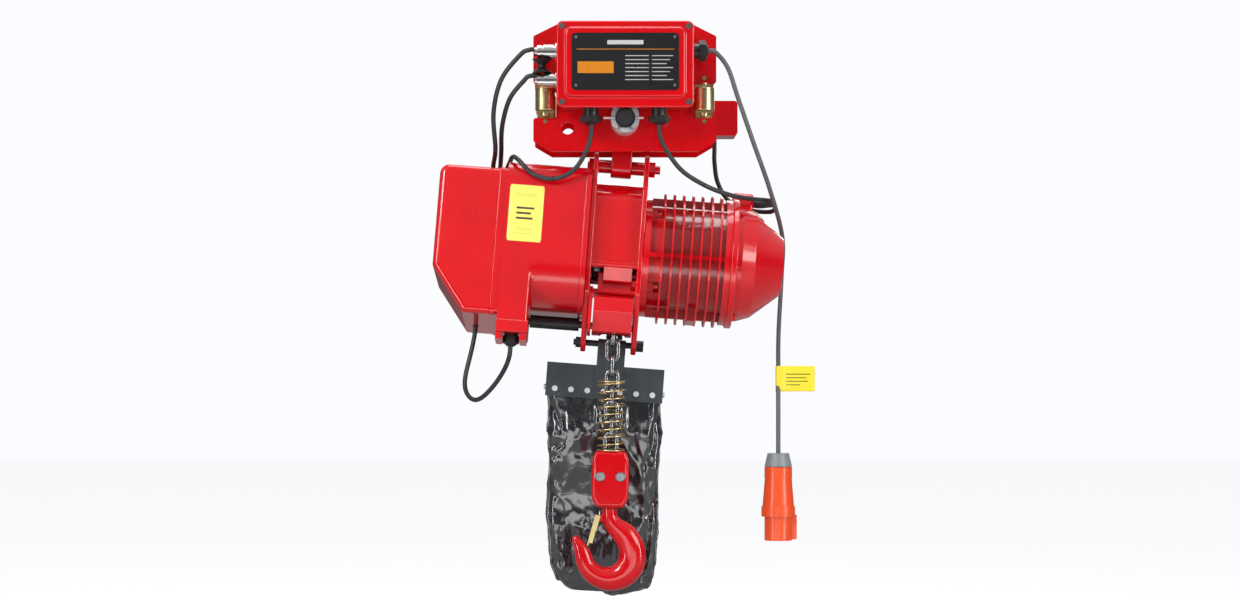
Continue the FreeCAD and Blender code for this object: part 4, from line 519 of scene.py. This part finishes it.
def loop(cx_, cy_, hx, hy, r, n):
    """n points round a rounded rectangle, evenly spaced, starting at the middle of the front side."""
    pts, m = [], 900
    for i in range(m):
        t = i / m
        per = [2 * (hx - r), 2 * (hy - r)]
        q = math.pi * r / 2
        total = 2 * sum(per) + 4 * q
        d = (t * total + 0) % total
        seq = [("l", hx - r), ("a", q, 0), ("s", per[1]), ("a", q, 1), ("l2", per[0]), ("a", q, 2), ("s2", per[1]), ("a", q, 3), ("l3", hx - r)]
        x = y = 0
        for e in seq:
            if d <= e[1] + 1e-9:
                if e[0] == "l":
                    x, y = d, -hy
                elif e[0] == "s":
                    x, y = hx, -hy + r + d
                elif e[0] == "l2":
                    x, y = hx - r - d, hy
                elif e[0] == "s2":
                    x, y = -hx, hy - r - d
                elif e[0] == "l3":
                    x, y = -hx + r + d, -hy
                else:
                    k_ = e[2]
                    cc = [(hx - r, -hy + r), (hx - r, hy - r), (-hx + r, hy - r), (-hx + r, -hy + r)][k_]
                    a_ = -math.pi / 2 + k_ * math.pi / 2 + d / r
                    x, y = cc[0] + r * math.cos(a_), cc[1] + r * math.sin(a_)
                break
            d -= e[1]
        pts.append((cx_ + x, cy_ + y))
    return [pts[int(i * m / n)] for i in range(n)]


PROFILE = [(0.0, 110.0, 15.0, 95.0, 0.0), (0.09, 108.5, 16.0, 96.0, 1.0), (0.16, 109, 21, 97, 3), (0.35, 111.5, 36, 110, 8), (0.62, 111, 51, 121, 15),
           (0.82, 109, 53, 122, 20), (0.89, 104, 56, 119, 21), (0.945, 93, 61, 114, 22), (0.98, 78, 68, 107, 22.5), (1.0, 58, 76, 99, 23)]


def profile(t):
    for i in range(len(PROFILE) - 1):
        a_, b_ = PROFILE[i], PROFILE[i + 1]
        if t <= b_[0]:
            u = (t - a_[0]) / (b_[0] - a_[0])
            u = u * u * (3 - 2 * u) if i not in (0,) else u
            return [a_[k_] + (b_[k_] - a_[k_]) * u for k_ in range(1, 5)]
    return list(PROFILE[-1][1:])


NA, NR = 160, 104
verts, faces = [], []
for j in range(NR + 1):
    t = j / NR
    hw, d0, d1, dx = profile(t)
    z = -72.0 - 404.0 * (1 - (1 - t) ** 1.0)
    hy = (d1 - d0) / 2
    for x, y in loop(dx - 1.5, (d0 + d1) / 2, hw, hy, min(17, hy - 1), NA):
        verts.append(BAG @ Vector((x / 1000, y / 1000, z / 1000)))
for j in range(NR):
    for i in range(NA):
        a_, b_ = j * NA + i, j * NA + (i + 1) % NA
        faces.append((a_, a_ + NA, b_ + NA, b_))
# bottom: rings drawn in to a seam line
last = NR * NA
hw, d0, d1, dx = profile(1.0)
prev = list(range(last, last + NA))
for ring in range(1, 7):
    f_ = 1 - ring / 7.0
    cen = sum((verts[i] for i in range(last, last + NA)), Vector()) / NA
    idx = []
    for i in range(NA):
        v = verts[last + i] - cen
        idx.append(len(verts))
        verts.append(cen + Vector((v.x * (0.25 + 0.75 * f_), v.y * f_, v.z)) + Vector((0, 0, -0.0030 * (1 - f_ * f_))))
    for i in range(NA):
        faces.append((prev[i], idx[i], idx[(i + 1) % NA], prev[(i + 1) % NA]))
    prev = idx
cen_i = len(verts)
verts.append(sum((verts[i] for i in prev), Vector()) / NA)
for i in range(NA):
    faces.append((prev[i], cen_i, prev[(i + 1) % NA]))

PVC = Nt("coated_fabric")
wv = PVC.noise(1100.0, 2, 0.5)
PVC.link(PVC.mix(PVC.noise(14.0, 4), c(0.010, 0.012, 0.015), c(0.020, 0.023, 0.027)), PVC.b.inputs["Base Color"])
PVC.link(PVC.math("ADD", PVC.math("MULTIPLY", PVC.noise(22.0, 5, 0.6), 0.12), 0.10), PVC.b.inputs["Roughness"])
n1 = PVC.bump(PVC.noise(34.0, 4, 0.55, dist=0.8), 0.35, 0.004)
PVC.link(PVC.bump(wv, 0.10, 0.0003, n1), PVC.b.inputs["Normal"])
PVC.setv(Specular_IOR_Level=0.9, Coat_Weight=1.0, Coat_Roughness=0.05)
bag = new_object("bag_shell", verts, faces, PVC.m)
rest = np.array([tuple(v) for v in verts])
bm = bmesh.new()
bm.from_mesh(bag.data)
bmesh.ops.recalc_face_normals(bm, faces=bm.faces)
bm.to_mesh(bag.data)
bm.free()

# a little uneven to start with, so that the sheet buckles unevenly
for i, v in enumerate(bag.data.vertices):
    q = Vector(verts[i])
    w_ = min(1.0, max(0.0, (-0.115 - (BAG.inverted() @ q).z) / 0.05))
    s1 = Vector((q.x * 1.3, q.y * 1.3, q.z * 0.8))
    r1 = abs(noise.noise(s1 * 11 + Vector((3.1, 0.2, 7.7))))
    r2 = abs(noise.noise(Vector((s1.x * 1.2 + s1.z * 0.7, s1.y, s1.z - s1.x * 0.5)) * 22 + Vector((9.4, 2.2, 1.3))))
    r3 = abs(noise.noise(q * 52 + Vector((1.4, 8.2, 4.3))))
    d_ = (r1 - 0.22) * 0.020 + (r2 - 0.2) * 0.011 + (r3 - 0.2) * 0.0040
    v.co = q + v.normal * d_ * w_
pin = bag.vertex_groups.new(name="rim")
pin.add([i for i in range(len(verts)) if (BAG.inverted() @ Vector(verts[i])).z > -0.104], 1.0, "REPLACE")
cl = bag.modifiers.new("crumple", "CLOTH")
st = cl.settings
st.quality = 6
st.mass = 0.35
st.tension_stiffness = 12
st.compression_stiffness = 12
st.shear_stiffness = 4
st.bending_stiffness = 0.06
st.use_pressure = True
st.uniform_pressure_force = 0.25
st.shrink_min = -0.05
st.shrink_max = -0.05
st.vertex_group_mass = "rim"
st.effector_weights.gravity = 0.25
cl.collision_settings.use_collision = False
cl.collision_settings.use_self_collision = False
cl.point_cache.frame_start, cl.point_cache.frame_end = 1, 14
for f_ in range(1, 15):
    scene.frame_set(f_)
dg = bpy.context.evaluated_depsgraph_get()
ev = bag.evaluated_get(dg).to_mesh()
now = np.array([tuple(v.co) for v in ev.vertices])
bag.evaluated_get(dg).to_mesh_clear()
bag.modifiers.remove(cl)
scene.frame_set(1)
d = now - rest
far = np.linalg.norm(d, axis=1, keepdims=True)
cap = 0.012
d = d * np.minimum(1.0, cap / np.maximum(far, 1e-9)) * np.where(far > cap, 1.0, 1.0)
for i, v in enumerate(bag.data.vertices):
    v.co = rest[i] + d[i]
bag.data.update()
# creases set into the coating: sharp ridges between shallow hollows
nrm = [v.normal.copy() for v in bag.data.vertices]
for i, v in enumerate(bag.data.vertices):
    q = Vector(rest[i])
    loc_ = BAG_INV @ q
    w_ = min(1.0, max(0.0, (-0.108 - loc_.z) / 0.030))
    warp = noise.noise_vector(q * 9) * 0.030
    a_ = q + warp
    h = 0.0
    for sc_, am, sd in ((8.5, 0.0060, 0.0), (19.0, 0.0024, 4.2)):
        dd, _ = noise.voronoi(Vector((a_.x * sc_ + sd, a_.y * sc_, (a_.z + 0.35 * a_.x) * sc_ * 0.55)))
        gap = dd[1] - dd[0]
        h += am * (math.exp(-gap * 3.4) - 0.5)
    v.co = v.co + nrm[i] * h * w_
bag.data.update()
sub = bag.modifiers.new("smooth", "SUBSURF")
sub.levels = sub.render_levels = 1
th = bag.modifiers.new("sheet", "SOLIDIFY")
th.thickness = 0.0009
th.offset = -1
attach(bag, "bag")
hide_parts("chain_bag")

# welded seams down both sides, following the crumpled sheet
final = [v.co.copy() for v in bag.data.vertices]
for name, col_, sx in (("bag_seam_left", int(NA * 0.5 + NA * 0.28), -1), ("bag_seam_right", int(NA * 0.5 - NA * 0.28), 1)):
    # the column of the sheet that lies furthest to that side, just ahead of the middle
    best = [max(range(NA), key=lambda i: sx * rest[j * NA + i][0] - 0.35 * rest[j * NA + i][1]) for j in range(NR + 1)]
    sv, sf = [], []
    for j in range(8, NR - 3):
        p_ = final[j * NA + best[j]]
        for dx_, dy_ in ((-0.0012, 0.0009), (0.0042, 0.0007), (0.0046, 0.0), (0.0042, -0.0007), (-0.0012, -0.0009)):
            sv.append(p_ + Vector((sx * dx_, dy_, 0)))
    m_ = NR - 11
    for j in range(m_ - 1):
        for q_ in range(5):
            a_, b_ = j * 5 + q_, j * 5 + (q_ + 1) % 5
            sf.append((a_, b_, b_ + 5, a_ + 5))
    sf.append((0, 1, 2, 3, 4))
    sf.append(tuple(reversed(range((m_ - 1) * 5, m_ * 5))))
    so_ = new_object(name, sv, sf, PVC.m)
    bm = bmesh.new()
    bm.from_mesh(so_.data)
    bmesh.ops.recalc_face_normals(bm, faces=bm.faces)
    bm.to_mesh(so_.data)
    bm.free()
    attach(so_, "bag")

for n, o in NODES.items():
    for p in o.data.polygons:
        p.use_smooth = True
    md = o.modifiers.new("smooth_by_angle", "EDGE_SPLIT")
    md.split_angle = math.radians(32)

# ------------------------------------------------------------------ stage: floor, light, camera
fl = bmesh.new()
bmesh.ops.create_grid(fl, x_segments=2, y_segments=2, size=14)
me = bpy.data.meshes.new("floor")
fl.to_mesh(me)
floor = bpy.data.objects.new("floor", me)
scene.collection.objects.link(floor)
floor.location = (0, 4, cad_lo.z - 0.30)
k = Nt("floor_pale")
flp = k.m.node_tree.nodes.new("ShaderNodeLightPath")
k.link(k.mix(flp.outputs["Is Camera Ray"], c(0.34, 0.34, 0.34), k.mix(k.noise(3.0, 4), c(0.84, 0.84, 0.84), c(0.80, 0.80, 0.80))), k.b.inputs["Base Color"])
k.setv(Roughness=0.75)
k.b.inputs["Emission Color"].default_value = (0.93, 0.935, 0.95, 1)
fmul = k.m.node_tree.nodes.new("ShaderNodeMath")
fmul.operation = "MULTIPLY"
fmul.inputs[1].default_value = 0.55
k.m.node_tree.links.new(flp.outputs["Is Camera Ray"], fmul.inputs[0])
k.m.node_tree.links.new(fmul.outputs[0], k.b.inputs["Emission Strength"])
me.materials.append(k.m)

w = bpy.data.worlds.new("studio")
scene.world = w
w.use_nodes = True
bgn = w.node_tree.nodes["Background"]
bgn.inputs[0].default_value = (0.97, 0.975, 1.0, 1)
lp = w.node_tree.nodes.new("ShaderNodeLightPath")
wt = w.node_tree
tcw = wt.nodes.new("ShaderNodeTexCoord")
sepw = wt.nodes.new("ShaderNodeSeparateXYZ")
wt.links.new(tcw.outputs["Generated"], sepw.inputs[0])
half = wt.nodes.new("ShaderNodeMapRange")
half.inputs["From Min"].default_value = -1.0
wt.links.new(sepw.outputs[2], half.inputs["Value"])
rw = wt.nodes.new("ShaderNodeValToRGB")
rw.color_ramp.elements[0].position, rw.color_ramp.elements[0].color = 0.0, (0.30, 0.30, 0.30, 1)
rw.color_ramp.elements[1].position, rw.color_ramp.elements[1].color = 1.0, (0.70, 0.70, 0.70, 1)
for at_, v_ in ((0.36, 0.18), (0.46, 0.07), (0.56, 0.09), (0.68, 0.42)):
    e_ = rw.color_ramp.elements.new(at_)
    e_.color = (v_, v_, v_, 1)
wt.links.new(half.outputs["Result"], rw.inputs[0])
seen = wt.nodes.new("ShaderNodeMix")
seen.data_type = "FLOAT"
seen.inputs["B"].default_value = 1.0
wt.links.new(lp.outputs["Is Camera Ray"], seen.inputs["Factor"])
wt.links.new(rw.outputs["Color"], seen.inputs["A"])
wt.links.new(seen.outputs["Result"], bgn.inputs[1])


def area(name, loc, target, size, power, colour=(1, 1, 1), sy=None):
    l = bpy.data.lights.new(name, "AREA")
    l.shape = "RECTANGLE"
    l.size, l.size_y, l.energy, l.color = size, sy or size, power, colour
    o = bpy.data.objects.new(name, l)
    scene.collection.objects.link(o)
    o.location = loc
    o.rotation_euler = (Vector(target) - Vector(loc)).to_track_quat("-Z", "Y").to_euler()


area("key", (-1.9, -3.0, 1.5), (0, 0, -0.3), 0.8, 50)
area("fill", (2.4, -2.6, 0.3), (0, 0, -0.35), 1.0, 22, (1.0, 0.99, 0.98))
area("strip_left", (-1.7, -1.5, -0.2), (-0.1, 0, -0.35), 0.16, 17, sy=1.8)
area("strip_right", (1.7, -1.2, -0.3), (0.1, 0, -0.4), 0.16, 16, sy=1.8)
area("top", (0, 0.1, 1.8), (0, 0, 0), 1.2, 22)
area("under", (-0.1, -1.5, -1.16), (0, 0, -0.35), 1.5, 6, sy=0.5)
area("back", (0.6, 2.6, 0.8), (0, 0, -0.3), 1.6, 20)

cam = bpy.data.cameras.new("view")
cam.sensor_width = 36.0
cam.lens = 2564.0 / 1240.0 * 36.0
cam.shift_x = 20.0 / 1240.0
cam.shift_y = 80.0 / 1240.0
co = bpy.data.objects.new("view", cam)
scene.collection.objects.link(co)
co.location = (-0.0477, -5.0, -0.4976 - FLANGE)
co.rotation_euler = (math.radians(90), 0, 0)
scene.camera = co
scene.view_settings.view_transform = "Standard"
